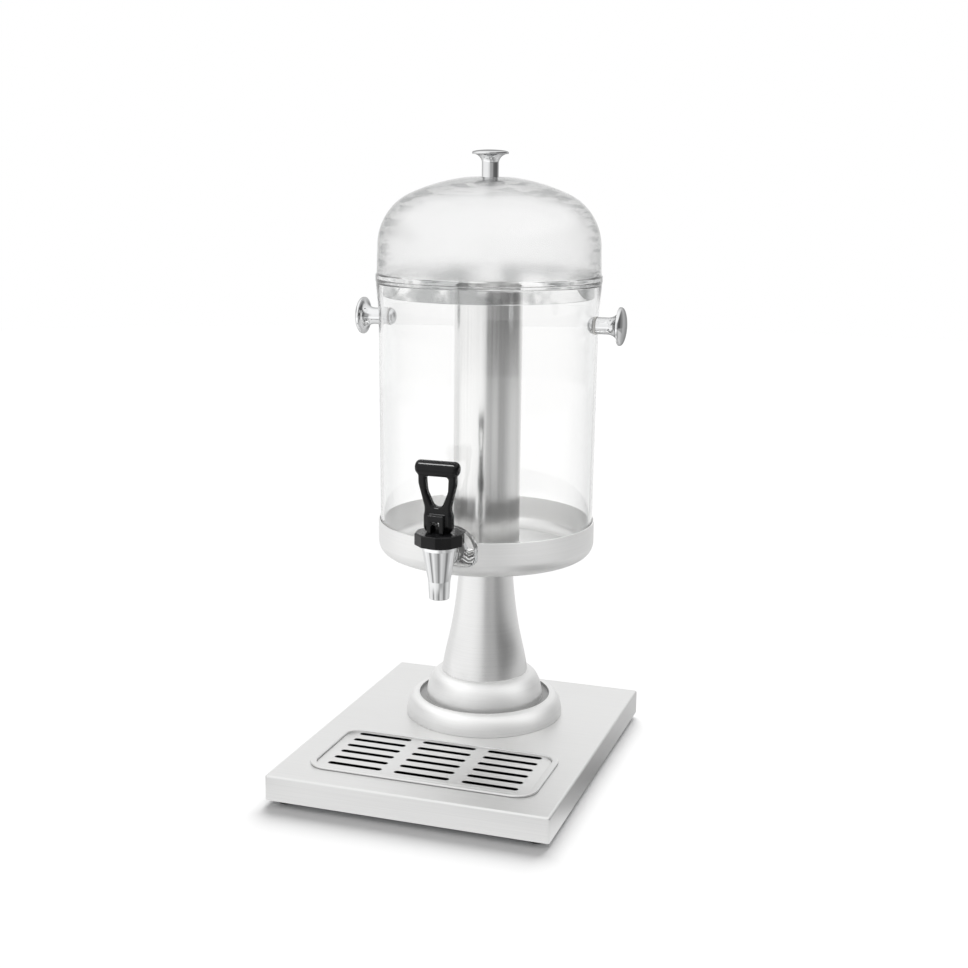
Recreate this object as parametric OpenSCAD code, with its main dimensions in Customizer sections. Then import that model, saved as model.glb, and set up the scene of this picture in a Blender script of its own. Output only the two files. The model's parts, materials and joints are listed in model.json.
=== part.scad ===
// Cylindrical drink dispenser: a clear tank with an ice tube and a domed lid,
// a push tap in front, and a steel pedestal on a flat base with a drip tray.
// Millimetres, +Z up, front towards -Y, origin on the floor under the middle of the base.

/* [Base] */
// Width of the base from side to side
base_w = 267; // [240:1:320]
// Depth of the base from front to back
base_d = 334; // [320:1:420]
// Height of the base without its feet
base_h = 24; // [22:1:40]
// Thickness of the base's folded sheet
base_sheet = 1.2; // [0.8:0.1:1.6]
// Radius of the base's outer corners and top edges
base_round = 2.5; // [2:0.5:5]
// Thickness of the plate that closes the base below
plate_t = 1.5; // [1:0.1:3]
// Gap between the closing plate and the base's skirt
plate_gap = 0.3; // [0.1:0.1:0.8]

/* [Feet] */
// Radius of a rubber foot
foot_r = 9; // [8:0.5:12]
// Height of a rubber foot
foot_h = 5; // [4.5:0.5:10]
// How much smaller a foot's radius is at the floor
foot_taper = 1; // [0:0.1:2]
// Distance of a foot's axis from the base's sides
foot_inset = 15; // [14:1:24]
// Radius of a foot screw's shank
foot_screw_r = 2; // [1.5:0.1:2.5]
// Radius of a foot screw's head
foot_screw_head_r = 3.6; // [3:0.1:5]
// Height of a foot screw's head
foot_screw_head_h = 2.2; // [1.5:0.1:3]
// Length of a foot screw inside its post
foot_screw_grip = 12; // [8:0.5:16]
// Thickness of the rubber between the screw's head and the plate
foot_web = 2; // [1.5:0.1:2.5]
// Radius of the posts between the closing plate and the base's top
standoff_r = 6; // [4:0.5:9]

/* [Drip tray] */
// Width of the tray over its rim
tray_w = 218; // [180:1:230]
// Depth of the tray over its rim
tray_d = 103; // [95:1:110]
// Distance of the tray's rim from the base's front edge
tray_front = 29; // [25:1:32]
// Corner radius of the tray's rim
tray_corner = 20; // [14:1:28]
// Width of the raised rim
tray_rim_w = 5; // [4:0.5:8]
// Height of the raised rim over the base
tray_rim_h = 1.8; // [1:0.1:4]
// Depth of the pan under the base's top
tray_depth = 14; // [10:0.5:15]
// Thickness of the tray's sheet
tray_t = 1; // [0.6:0.1:1.5]
// Gap between the pan and its cut-out in the base
tray_gap = 0.5; // [0.3:0.1:1.5]
// Width of the ledge that carries the grate
ledge_w = 4; // [3:0.5:6]
// Thickness of the grate
grate_t = 1.5; // [1:0.1:2]
// Gap round the grate
grate_gap = 0.4; // [0.3:0.1:1]
// Length of a drain slot
slot_l = 52; // [30:1:54]
// Width of a drain slot
slot_w = 5; // [3:0.5:7]
// Distance between columns of slots
slot_column_step = 65; // [56:1:68]
// Distance between rows of slots
slot_row_step = 14.9; // [10:0.1:15.2]
// Distance of the slots' middle behind the grate's middle
slot_shift = 3; // [0:0.5:4]

/* [Pedestal] */
// Distance of the tank's axis from the base's back edge
axis_back = 109; // [109:1:120]
// Thickness of the pedestal's spun shells
spun_t = 1.6; // [1:0.1:2.5]
// Radius of the foot ring on the base
ring_r = 78; // [72:0.5:80]
// Radius of the foot ring's upper lip
ring_lip_r = 66.5; // [63:0.5:68]
// Height of the foot ring
ring_h = 20; // [14:0.5:30]
// Depth of the groove inside the foot ring's lip
ring_groove = 3.5; // [1:0.5:8]
// Radius of the hole in the shelf inside the foot ring
shelf_bore_r = 29; // [24:1:40]
// Radius of the collar at its foot
collar_r = 58; // [52:0.5:60]
// Height of the collar over the groove
collar_h = 28; // [20:0.5:40]
// Width of the flange on the collar that the column stands on
collar_flange = 6.4; // [4:0.2:10]
// Radius of the column where it stands on the collar
column_foot_r = 42.8; // [38:0.2:48]
// Radius of the column under the dish
column_top_r = 25.5; // [22:0.5:30]
// Height of the column
column_h = 120.5; // [100:0.5:160]
// How far the curve's handles stand in from the column's foot and out from its top
column_draw = 5; // [0:0.1:12]
// Height of the curve's lower handle above the column's foot
column_low_pull = 35; // [20:0.5:70]
// Height of the curve's upper handle above the column's foot
column_top_pull = 40; // [0:0.5:60]

/* [Tie rod] */
// Radius of the threaded rod that clamps the pedestal
rod_r = 5; // [4:0.5:6]
// Radius of the big washer under the base's top
rod_washer_r = 20; // [15:0.5:30]
// Thickness of that washer
rod_washer_t = 2; // [1.5:0.1:3]
// Radius of the rod's nut over its corners
rod_nut_r = 9.2; // [8.5:0.1:12]
// Height of the rod's nut
rod_nut_h = 8; // [6:0.5:9]
// Length of rod below its nut
rod_tail = 3; // [1:0.5:4]
// Height of the threaded hub under the dish
hub_h = 22; // [15:0.5:35]
// Radius of the threaded hub
hub_r = 11; // [9:0.5:14]
// Thickness of the hub's weld plate
hub_plate_t = 3; // [2:0.1:5]
// Clearance round screws, pins and rods
thread_gap = 0.05; // [0.02:0.01:0.1]

/* [Dish] */
// Outer radius of the dish
dish_r = 105.7; // [104:0.1:107]
// Height of the dish
dish_h = 35; // [30:0.5:40]
// Thickness of the dish's sheet
dish_t = 1.2; // [0.8:0.1:2]
// Outer radius of the dish's bottom edge
dish_fillet = 14; // [8:0.5:16]
// Gap between the tank's tap boss and the notch in the dish
notch_gap = 0.6; // [0.4:0.1:2]

/* [Tank] */
// Height of the tank
tank_h = 263.5; // [220:0.5:320]
// Thickness of the tank's wall
tank_t = 3; // [2:0.1:4]
// Thickness of the tank's floor
tank_floor_t = 3.5; // [2.5:0.1:5]
// Gap between the tank's foot and the dish's wall
tank_gap = 1; // [0.5:0.1:2]
// How much wider the tank is below its flared mouth than at its foot
tank_draft = 1.7; // [0.5:0.1:3]
// How much further the mouth flares out
tank_flare = 2.4; // [1:0.1:4]
// Height of the flared mouth
tank_flare_h = 25; // [20:0.5:40]
// Gap between a lifted-off piece and its flat seat
seat_gap = 0.3; // [0.1:0.1:0.5]
// Height of the moulded ring that locates the ice tube
locator_h = 3.5; // [2:0.5:10]
// Thickness of that ring
locator_t = 2.7; // [1.5:0.1:4]

/* [Ice tube] */
// Outer radius of the ice tube
tube_r = 32.5; // [25:0.5:40]
// Length of the ice tube
tube_l = 254; // [200:1:258]
// Thickness of the ice tube's wall
tube_t = 1; // [0.6:0.1:2]
// Width of the rolled lip on the ice tube
tube_lip = 2.2; // [1:0.1:4]
// Gap between the ice tube and its locating ring
tube_gap = 0.8; // [0.3:0.1:2]

/* [Lid] */
// Height of the skirt that hangs into the tank
skirt_h = 13; // [10:0.5:24]
// Thickness of the skirt
skirt_t = 3; // [2:0.1:4]
// Gap between the skirt and the tank's wall
skirt_gap = 0.8; // [0.5:0.1:2]
// How far the lid's flange stands past the tank's mouth
flange_over = 0.3; // [0:0.1:1]
// Height of the lid's flange
flange_h = 6.7; // [4:0.1:10]
// Thickness of the lid's wall
lid_t = 2.5; // [1.5:0.1:3.5]
// Height of the lid's nearly upright wall over the flange
lid_wall_h = 26.8; // [15:0.1:45]
// How far the lid's wall stands in from the flange
lid_inset = 1.1; // [0.5:0.1:3]
// How much the lid's wall leans in over its height
lid_lean = 0.8; // [0.2:0.1:3]
// Radius of the lid's shoulder
shoulder_r = 54; // [35:0.5:62]
// Radius of the lid's crown
crown_r = 180; // [150:1:260]
// Radius of the flat seat for the knob
seat_r = 15; // [14.5:0.5:26]
// Width of the slope round the knob's seat
seat_slope = 5; // [4:0.5:10]
// Depth of the knob's seat under the crown at its edge
seat_depth = 4.9; // [1:0.1:6]

/* [Knobs] */
// Radius of a knob's stem
knob_stem_r = 7.9; // [6:0.1:10]
// Thickness of a knob's rim
knob_rim_t = 1.5; // [1:0.1:3]
// Radius of the lid knob's disc
lid_knob_r = 17.1; // [13:0.1:22]
// Length of the lid knob's stem
lid_knob_stem_l = 15.5; // [12:0.5:25]
// Height of the lid knob's flare
lid_knob_flare = 8.5; // [5:0.5:14]
// Height of the lid knob's domed top
lid_knob_dome = 2.5; // [1:0.1:6]
// Radius of the lid knob's foot flange
lid_knob_foot_r = 13.8; // [10:0.1:18]
// Height of the lid knob's foot flange
lid_knob_foot_h = 2; // [1:0.1:4]
// Radius of the clear washer under the lid
lid_washer_r = 13; // [12:0.5:14]
// Thickness of that washer
lid_washer_t = 2; // [1:0.1:3]
// Radius of a side knob's disc
side_knob_r = 17.9; // [14:0.1:24]
// Length of a side knob's stem
side_knob_stem_l = 10.5; // [10:0.5:20]
// Height of a side knob's flare
side_knob_flare = 11; // [6:0.5:16]
// Height of a side knob's domed end
side_knob_dome = 4.5; // [2:0.1:9]
// Depth of the side knobs' axis below the tank's mouth
side_knob_drop = 37; // [32:0.5:80]
// Thickness of the silicone gasket under a side knob
side_gasket_t = 1.5; // [1:0.1:3]
// Radius of that gasket
side_gasket_r = 8.5; // [8:0.5:11]
// Radius of a knob screw's shank
knob_screw_r = 2.5; // [2:0.1:3]
// Radius of a side knob screw's domed head
side_screw_head_r = 7.6; // [5:0.1:9]
// Height of a side knob screw's domed head
side_screw_head_h = 4.8; // [3:0.1:10]
// Radius of the lid knob screw's domed head
lid_screw_head_r = 5.5; // [4:0.1:9]
// Height of the lid knob screw's domed head
lid_screw_head_h = 3.5; // [2:0.1:6]
// Length of a knob screw inside the knob
knob_screw_grip = 9; // [6:0.5:10]

/* [Tap boss] */
// Height of the tap's axis above the tank's underside
shank_h = 25.5; // [24:0.5:40]
// Width of the boss that carries the tap
boss_w = 51; // [44:0.5:60]
// Height of the boss above the tap's axis
boss_up = 24; // [20:0.5:30]
// Depth of the boss below the tap's axis
boss_down = 14; // [13.5:0.1:16]
// How far the boss stands out from the tank's foot
boss_reach = 6; // [3:0.5:10]
// Radius of the round spigot on the boss
spigot_r = 12; // [11.5:0.1:12.6]
// Length of that spigot
spigot_l = 5; // [3:0.5:8]

/* [Tap] */
// Distance of the tap's upright axis from the spigot's face
tap_offset = 19.5; // [19.3:0.1:25]
// Height of the tap's rim above the shank's axis
tap_rise = 11.5; // [10.5:0.5:16]
// Radius of the tap's rim
tap_rim_r = 15.8; // [14.8:0.1:16]
// Height of the tap's rim
tap_rim_h = 3.5; // [2:0.1:6]
// Height of the tap's cone
tap_cone_h = 29; // [26:0.5:36]
// Radius at the small end of the cone
tap_cone_r = 10.2; // [9.8:0.1:11.5]
// Length of the spout below the cone
spout_l = 17; // [10:0.5:30]
// Radius of the spout's end
spout_r = 9.2; // [8.6:0.1:11]
// Radius of the spout's bore
spout_bore_r = 7; // [5:0.1:7.5]
// Radius of the valve chamber
chamber_r = 10.5; // [9.8:0.1:11]
// Depth of the valve chamber's floor below the shank's axis
chamber_down = 7; // [6:0.1:8]
// Radius of the threaded collar on the tap
collar_thread_r = 14; // [13:0.1:14.5]
// Height of that collar over the rim
collar_thread_h = 8; // [6:0.1:9]
// Radius of the tap's shank
shank_r = 8; // [6.5:0.1:9]
// Radius of the shank's bore
shank_bore_r = 4.5; // [3:0.1:5]
// Radius of the shank's shoulder and of its outer washer
shank_shoulder_r = 11.5; // [10:0.1:12]
// Thickness of the shank's shoulder
shank_shoulder_t = 2; // [1:0.1:2.5]
// Thickness of the outer rubber washer
outer_washer_t = 1.5; // [1:0.1:1.6]
// Radius of the inner rubber washer
inner_washer_r = 12.5; // [11:0.1:14]
// Thickness of the inner rubber washer at its middle
inner_washer_t = 3; // [2:0.1:5]
// Radius of the shank's nut over its corners
shank_nut_r = 13.4; // [11:0.1:14]
// Thickness of the shank's nut
shank_nut_t = 7; // [5:0.5:10]

/* [Tap handle] */
// Radius of the ten-sided bonnet over its corners
bonnet_r = 22.8; // [19.5:0.1:24]
// Height of the bonnet
bonnet_h = 11.3; // [10.5:0.1:14]
// Gap between the tap's rim and the bonnet
bonnet_gap = 1.2; // [0.5:0.1:2]
// Radius of the valve stem
stem_r = 3.5; // [3:0.1:4]
// Width of the block at the handle's foot
handle_foot_w = 15.6; // [13:0.2:18]
// How far that block reaches forward of the tap's axis
handle_foot_front = 13; // [11:0.5:15]
// How far that block reaches behind the tap's axis
handle_foot_back = 7; // [5:0.5:9]
// Height of the handle's foot
handle_foot_h = 17; // [14:0.5:20]
// Height of the slot through the handle's foot
handle_slot_h = 11.2; // [9:0.1:12]
// Height of the grip bar's middle above the handle's foot
grip_h = 59.3; // [54:0.5:75]
// Length of the grip bar
grip_l = 41.5; // [40:0.5:60]
// Radius of the grip bar
grip_r = 6.8; // [5.5:0.1:8]
// Radius of the rounding at the grip bar's ends
grip_end_r = 4.8; // [3:0.1:5.4]
// Width over the two arms below the grip bar
arms_w = 35.6; // [34:0.2:38]
// Width over the two arms above the foot
arms_foot_w = 24.8; // [22:0.2:27]
// Width of an arm
arm_w = 6.8; // [5:0.1:8]
// Depth of an arm from front to back
arm_d = 9; // [6:0.5:12]
// How far the arms' foot stands forward of the tap's axis
arm_front = 1.5; // [0:0.5:4]
// How far the grip bar leans forward of the arms' foot
grip_lean = 4; // [0:0.5:8]
// Radius of the bend in an arm's outer side
elbow_r = 12; // [6:0.5:14]
// Radius of the edge where an arm meets the grip bar
arm_top_r = 1; // [0.5:0.1:3]
// Width of the window's flat foot
window_foot_w = 8; // [7:0.2:10]
// Width of the window where its sides bend
window_bend_w = 20; // [16:0.2:22]
// Height of that bend above the window's foot
window_bend_h = 14.2; // [10:0.2:18]
// Radius of that bend
window_bend_r = 14; // [8:0.5:16]
// Radius of the window's lower corners
window_low_r = 5.4; // [3:0.1:5.4]
// Radius of the window's upper corners
window_top_r = 3; // [2:0.1:5]
// Radius of the handle's pin
handle_pin_r = 1.2; // [1:0.1:1.5]
// Height of the handle's pin above the handle's foot
handle_pin_h = 3.2; // [3.2:0.1:4]
// Height of the pin's slot beyond the pin, above and below
eye_gap = 0.5; // [0.4:0.05:0.6]
// Wall of the stem's slotted eye
eye_wall = 1.2; // [1:0.1:1.3]
// Thickness of the stem's eye from side to side
eye_t = 5; // [4:0.1:6]
// Gap between the stem's eye and the handle
eye_side_gap = 0.5; // [0.3:0.1:1]
// How far the handle swings forward, in degrees
handle_swing = 28; // [15:1:30]
// Radius of the silicone seat cup
cup_r = 9.3; // [8.5:0.1:9.5]
// How much smaller the seat cup's radius is at its top
cup_taper = 1; // [0.5:0.1:2]
// Height of the silicone seat cup
cup_h = 6; // [4:0.1:7]
// Radius of the return spring's wire
spring_wire_r = 0.6; // [0.4:0.05:0.8]
// Turns of the return spring
spring_turns = 6; // [4:1:7]
// Gap between the return spring and what it works against
spring_gap = 0.3; // [0.1:0.05:0.4]

/* [Hidden] */
$fn = 96;

steel = [0.84, 0.85, 0.86];
chrome = [0.72, 0.74, 0.76];
black = [0.06, 0.06, 0.07];
rubber = [0.1, 0.1, 0.1];
silicone = [0.85, 0.85, 0.82];
clear = [0.9, 0.95, 0.97, 0.35];

// Overlap of solids that are fused, and reach of a cut past a face
eps = 0.5;
// Segments of a turned surface that a thin rubber piece is cut to
fine = 360;
// Steps along a curved stretch of an outline
arc_steps = 10;
// Sides of the bonnet, and of a hexagon nut
bonnet_sides = 10;
nut_sides = 6;
// Turn that puts a corner of the bonnet a little right of the front
bonnet_turn = -80;

// Heights, from the floor up
base_top = foot_h + base_h;
ring_top = base_top + ring_h;
shelf_z = ring_top - ring_groove;
collar_top = shelf_z + collar_h;
dish_z = collar_top + column_h;
tank_z = dish_z + dish_t + seat_gap;
tank_floor_z = tank_z + tank_floor_t;
tank_rim_z = tank_z + tank_h;
side_knob_z = tank_rim_z - side_knob_drop;
lid_z = tank_rim_z + seat_gap;
lid_wall_z = lid_z + flange_h;
shoulder_z = lid_wall_z + lid_wall_h;

// Places from front to back
axis_y = base_d / 2 - axis_back;
tray_y = tray_front + tray_d / 2 - base_d / 2;
foot_x = base_w / 2 - foot_inset;
foot_y = base_d / 2 - foot_inset;

// Radii of the tank, of the lid and of the dish's hub plate
tank_foot_r = dish_r - dish_t - tank_gap;
tank_top_r = tank_foot_r + tank_draft;
tank_mouth_r = tank_top_r + tank_flare;
tank_fillet = dish_fillet + tank_gap;
flange_r = tank_mouth_r + flange_over;
skirt_r = tank_top_r - tank_t - skirt_gap;
lid_r = flange_r - lid_inset;
shoulder_edge_r = lid_r - lid_lean;
hub_plate_r = column_top_r - spun_t - seat_gap;

// The shoulder's circle touches the crown's circle from inside
shoulder_c = shoulder_edge_r - shoulder_r;
crown_c = shoulder_z - sqrt(pow(crown_r - shoulder_r, 2) - pow(shoulder_c, 2));
blend_angle = acos(shoulder_c / (crown_r - shoulder_r));
dimple_r = seat_r + seat_slope;
dimple_angle = acos(dimple_r / crown_r);
seat_z = crown_c + crown_r * sin(dimple_angle) - seat_depth;

// Tap: its axis, and heights up to the handle's pivot
shank_z = tank_z + shank_h;
boss_front = tank_foot_r + boss_reach;
spigot_front = boss_front + spigot_l;
tap_y = axis_y - spigot_front - tap_offset;
tap_rim_z = shank_z + tap_rise;
cone_top_z = tap_rim_z - tap_rim_h;
cone_foot_z = cone_top_z - tap_cone_h;
spout_z = cone_foot_z - spout_l;
chamber_z = shank_z - chamber_down;
collar_thread_z = tap_rim_z + collar_thread_h;
bonnet_z = tap_rim_z + bonnet_gap;
bonnet_top = bonnet_z + bonnet_h;
handle_z = bonnet_top + seat_gap;
pin_z = handle_z + handle_pin_h;
inner_wall_r = tank_r_at(shank_z) - tank_t;
nut_face_r = inner_wall_r - inner_washer_t;
shank_end_r = nut_face_r - shank_nut_t - 2 * seat_gap;
cup_z = chamber_z + seat_gap;

// The pin runs forward in the stem's slot as the handle swings
pin_run = handle_foot_front * (1 - cos(handle_swing)) + handle_pin_h * sin(handle_swing);
eye_half_h = handle_pin_r + eye_gap + eye_wall;
eye_back = handle_pin_r + eye_gap + eye_wall;
eye_front = pin_run + handle_pin_r + eye_gap + eye_wall;

// Points of an ellipse's arc about (x, y), from angle a to angle b
function arc(x, y, rx, ry, a, b) = [
    for (i = [0 : arc_steps])
        let (t = a + (b - a) * i / arc_steps)
        [x + rx * cos(t), y + ry * sin(t)]
];

// Points of a cubic curve with two end points and two handles
function curve(p, q, r, s) = [
    for (i = [0 : arc_steps])
        let (t = i / arc_steps, u = 1 - t)
        u * u * u * p + 3 * u * u * t * q + 3 * u * t * t * r + t * t * t * s
];

// A list without its first point
function rest(points) = [for (i = [1 : len(points) - 1]) points[i]];

function unit(v) = v / norm(v);

// Corner p of an outline, between its neighbours a and b, rounded to radius r
function round_corner(a, p, b, r) =
    let (u = unit(a - p), v = unit(b - p))
    let (half = acos(u * v) / 2)
    let (c = p + unit(u + v) * r / sin(half))
    let (s = p + u * r / tan(half) - c, e = p + v * r / tan(half) - c)
    let (from = atan2(s.y, s.x))
    let (sweep = (atan2(e.y, e.x) - from + 540) % 360 - 180)
    [for (i = [0 : arc_steps]) c + r * [cos(from + sweep * i / arc_steps), sin(from + sweep * i / arc_steps)]];

// Outline with its corners rounded
function round_outline(points, radii) =
    let (n = len(points))
    [
        for (i = [0 : n - 1])
            each round_corner(points[(i + n - 1) % n], points[i], points[(i + 1) % n], radii[i])
    ];

// The tank's outer radius at a height on its straight wall
function tank_r_at(z) =
    tank_foot_r + tank_draft * (z - tank_z - tank_fillet) / (tank_h - tank_flare_h - tank_fillet);

// Rectangle with round corners, about the origin
module round_rect(w, d, r) {
    square([w, d - 2 * r], center = true);
    square([w - 2 * r, d], center = true);
    for (x = [-1, 1], y = [-1, 1])
        translate([x * (w / 2 - r), y * (d / 2 - r)])
            circle(r);
}

// Upright outline of width w and height h with round top corners
module round_top(w, h, r) {
    translate([-w / 2, 0])
        square([w, h - r]);
    translate([r - w / 2, 0])
        square([w - 2 * r, h]);
    for (x = [-1, 1])
        translate([x * (w / 2 - r), h - r])
            circle(r);
}

// Box on the plane z = 0 with round upright edges and round top edges
module round_box(w, d, h, r) {
    intersection() {
        linear_extrude(h)
            round_rect(w, d, r);
        translate([0, d / 2 + eps, 0])
            rotate([90, 0, 0])
                linear_extrude(d + 2 * eps)
                    round_top(w, h, r);
        translate([-w / 2 - eps, 0, 0])
            rotate([90, 0, 90])
                linear_extrude(w + 2 * eps)
                    round_top(d, h, r);
    }
}

// Ring of outer radius r and bore b on the plane z = 0
module ring(r, b, h) {
    difference() {
        cylinder(r = r, h = h);
        translate([0, 0, -eps])
            cylinder(r = b, h = h + 2 * eps);
    }
}

// Places a copy at each foot
module at_feet() {
    for (x = [-1, 1], y = [-1, 1])
        translate([x * foot_x, y * foot_y, 0])
            children();
}

// Places a shape about the tank's axis
module on_axis() {
    translate([0, axis_y, 0])
        children();
}

// Places a shape about the tap's upright axis
module on_tap() {
    translate([0, tap_y, 0])
        children();
}

// Lays an upright shape along the shank, its foot at radius r and its height running outwards
module on_shank(r) {
    translate([0, axis_y - r, shank_z])
        rotate([90, 0, 0])
            children();
}

// Lays an upright shape along a side knob's axis, its foot at radius r, running outwards
module on_side(side, r) {
    translate([side * r, axis_y, side_knob_z])
        rotate([0, side * 90, 0])
            children();
}

// Turned knob: an upright stem that flares into a domed disc, with a blind threaded hole
module turned_knob(stem_l, disc_r, flare, dome) {
    outline = concat(
        [[0, 0], [knob_stem_r, 0]],
        arc(disc_r, stem_l, knob_stem_r - disc_r, flare, 0, 90),
        arc(0, stem_l + flare + knob_rim_t, disc_r, dome, 0, 90)
    );
    difference() {
        rotate_extrude()
            polygon(outline);
        translate([0, 0, -eps])
            cylinder(r = knob_screw_r + thread_gap, h = knob_screw_grip + eps + seat_gap);
    }
}

// Screw with a domed head under z = 0 and a shank of length l above it
module dome_screw(head_r, head_h, l) {
    rotate_extrude()
        polygon(concat(
            [[0, l], [knob_screw_r, l], [knob_screw_r, 0]],
            arc(0, 0, head_r, -head_h, 0, 90)
        ));
}

// The base

module base_shell() {
    color(steel)
        difference() {
            translate([0, 0, foot_h])
                round_box(base_w, base_d, base_h, base_round);
            translate([0, 0, foot_h - base_sheet])
                round_box(base_w - 2 * base_sheet, base_d - 2 * base_sheet, base_h, base_round - base_sheet);
            translate([0, tray_y, base_top - tray_depth])
                linear_extrude(tray_depth + eps)
                    tray_outline(tray_rim_w - tray_gap);
            on_axis()
                translate([0, 0, base_top - base_sheet - eps])
                    cylinder(r = rod_r + tray_gap, h = base_sheet + 2 * eps);
        }
}

module base_bottom_plate() {
    gap = 2 * (base_sheet + plate_gap);
    color(steel)
        difference() {
            translate([0, 0, foot_h])
                linear_extrude(plate_t)
                    round_rect(base_w - gap, base_d - gap, base_round);
            at_feet()
                translate([0, 0, foot_h - eps])
                    cylinder(r = foot_screw_r + thread_gap, h = plate_t + 2 * eps);
        }
}

module base_standoffs() {
    color(steel)
        at_feet()
            translate([0, 0, foot_h + plate_t])
                ring(standoff_r, foot_screw_r + thread_gap, base_h - plate_t - base_sheet);
}

module foot(x, y) {
    color(rubber)
        translate([x * foot_x, y * foot_y, 0])
            difference() {
                cylinder(r1 = foot_r - foot_taper, r2 = foot_r, h = foot_h);
                translate([0, 0, -eps])
                    cylinder(r = foot_screw_head_r + seat_gap, h = foot_h - foot_web + eps);
                cylinder(r = foot_screw_r + thread_gap, h = foot_h + eps);
            }
}

module foot_screws() {
    color(chrome)
        at_feet()
            translate([0, 0, foot_h - foot_web]) {
                translate([0, 0, -foot_screw_head_h])
                    cylinder(r = foot_screw_head_r, h = foot_screw_head_h);
                cylinder(r = foot_screw_r, h = foot_web + plate_t + foot_screw_grip);
            }
}

// The pedestal

module pedestal_foot_ring() {
    t = spun_t;
    lip_w = ring_r - ring_lip_r;
    color(steel)
        on_axis()
            rotate_extrude()
                polygon(concat(
                    arc(ring_lip_r, base_top, lip_w, ring_h, 0, 90),
                    [
                        [ring_lip_r - t, ring_top - t / 2],
                        [ring_lip_r - t, shelf_z],
                        [shelf_bore_r, shelf_z],
                        [shelf_bore_r, shelf_z - t],
                    ],
                    arc(ring_lip_r, base_top, lip_w - t, ring_h - ring_groove - t, 90, 0)
                ));
}

module pedestal_collar() {
    t = spun_t;
    w = collar_r - column_foot_r;
    color(steel)
        on_axis()
            rotate_extrude()
                polygon(concat(
                    arc(column_foot_r, shelf_z, w, collar_h, 0, 90),
                    [
                        [column_foot_r - collar_flange, collar_top],
                        [column_foot_r - collar_flange, collar_top - t],
                    ],
                    arc(column_foot_r, shelf_z, w - t, collar_h - t, 90, 0)
                ));
}

// The column's outline, moved in by the sheet's thickness t
function column_outline(t) = curve(
    [column_foot_r - t, collar_top],
    [column_foot_r - column_draw - t, collar_top + column_low_pull],
    [column_top_r + column_draw - t, collar_top + column_top_pull],
    [column_top_r - t, dish_z]
);

module pedestal_column() {
    inner = column_outline(spun_t);
    color(steel)
        on_axis()
            rotate_extrude()
                polygon(concat(
                    column_outline(0),
                    [for (i = [len(inner) - 1 : -1 : 0]) inner[i]]
                ));
}

module tie_rod() {
    low = base_top - base_sheet - rod_washer_t - rod_nut_h - rod_tail;
    color(chrome)
        on_axis()
            translate([0, 0, low])
                cylinder(r = rod_r, h = dish_z - hub_plate_t - low);
}

module tie_rod_washer() {
    color(chrome)
        on_axis()
            translate([0, 0, base_top - base_sheet - rod_washer_t])
                ring(rod_washer_r, rod_r + thread_gap, rod_washer_t);
}

module tie_rod_nut() {
    color(chrome)
        on_axis()
            translate([0, 0, base_top - base_sheet - rod_washer_t - rod_nut_h])
                difference() {
                    cylinder(r = rod_nut_r, h = rod_nut_h, $fn = nut_sides);
                    translate([0, 0, -eps])
                        cylinder(r = rod_r + thread_gap, h = rod_nut_h + 2 * eps);
                }
}

module dish_hub() {
    color(steel)
        on_axis()
            difference() {
                union() {
                    translate([0, 0, dish_z - hub_plate_t])
                        cylinder(r = hub_plate_r, h = hub_plate_t);
                    translate([0, 0, dish_z - hub_h])
                        cylinder(r = hub_r, h = hub_h);
                }
                translate([0, 0, dish_z - hub_h - eps])
                    cylinder(r = rod_r + thread_gap, h = hub_h + eps - hub_plate_t);
            }
}

module dish() {
    flat_r = dish_r - dish_fillet;
    inner_fillet = dish_fillet - dish_t;
    color(steel)
        difference() {
            on_axis()
                rotate_extrude()
                    polygon(concat(
                        [[0, dish_z]],
                        arc(flat_r, dish_z + dish_fillet, dish_fillet, dish_fillet, -90, 0),
                        [[dish_r, dish_z + dish_h], [dish_r - dish_t, dish_z + dish_h]],
                        arc(flat_r, dish_z + dish_fillet, inner_fillet, inner_fillet, 0, -90),
                        [[0, dish_z + dish_t]]
                    ));
            on_shank(dish_r / 2)
                linear_extrude(dish_r)
                    translate([-boss_w / 2 - notch_gap, -boss_down - notch_gap])
                        square([boss_w + 2 * notch_gap, boss_down + dish_h]);
        }
}

// The drip tray

// The tray's outline, drawn in by a margin
module tray_outline(margin) {
    round_rect(tray_w - 2 * margin, tray_d - 2 * margin, tray_corner - margin);
}

// Ring between two margins of the tray's outline
module tray_ring(outer, inner, z, h) {
    translate([0, tray_y, z])
        linear_extrude(h)
            difference() {
                tray_outline(outer);
                tray_outline(inner);
            }
}

module drip_tray() {
    wall = tray_rim_w;
    inner = wall + tray_t;
    foot = inner + ledge_w - tray_t;
    ledge_z = base_top - grate_t;
    color(steel) {
        tray_ring(0, inner, base_top + seat_gap, tray_rim_h);
        tray_ring(wall, inner, ledge_z - tray_t, grate_t + tray_t + seat_gap + eps);
        tray_ring(wall, foot + tray_t, ledge_z - tray_t, tray_t);
        tray_ring(foot, foot + tray_t, base_top - tray_depth, tray_depth - grate_t);
        translate([0, tray_y, base_top - tray_depth])
            linear_extrude(tray_t)
                tray_outline(foot);
    }
}

module drip_grate() {
    color(steel)
        translate([0, tray_y, base_top - grate_t + seat_gap])
            linear_extrude(grate_t)
                difference() {
                    tray_outline(tray_rim_w + tray_t + grate_gap);
                    for (column = [-1 : 1], row = [-2.5 : 2.5])
                        translate([column * slot_column_step, row * slot_row_step + slot_shift])
                            round_slot(slot_l, slot_w);
                }
}

// Slot with round ends along X
module round_slot(l, w) {
    square([l - w, w], center = true);
    for (x = [-1, 1])
        translate([x * (l - w) / 2, 0])
            circle(d = w);
}

// The tank

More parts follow.
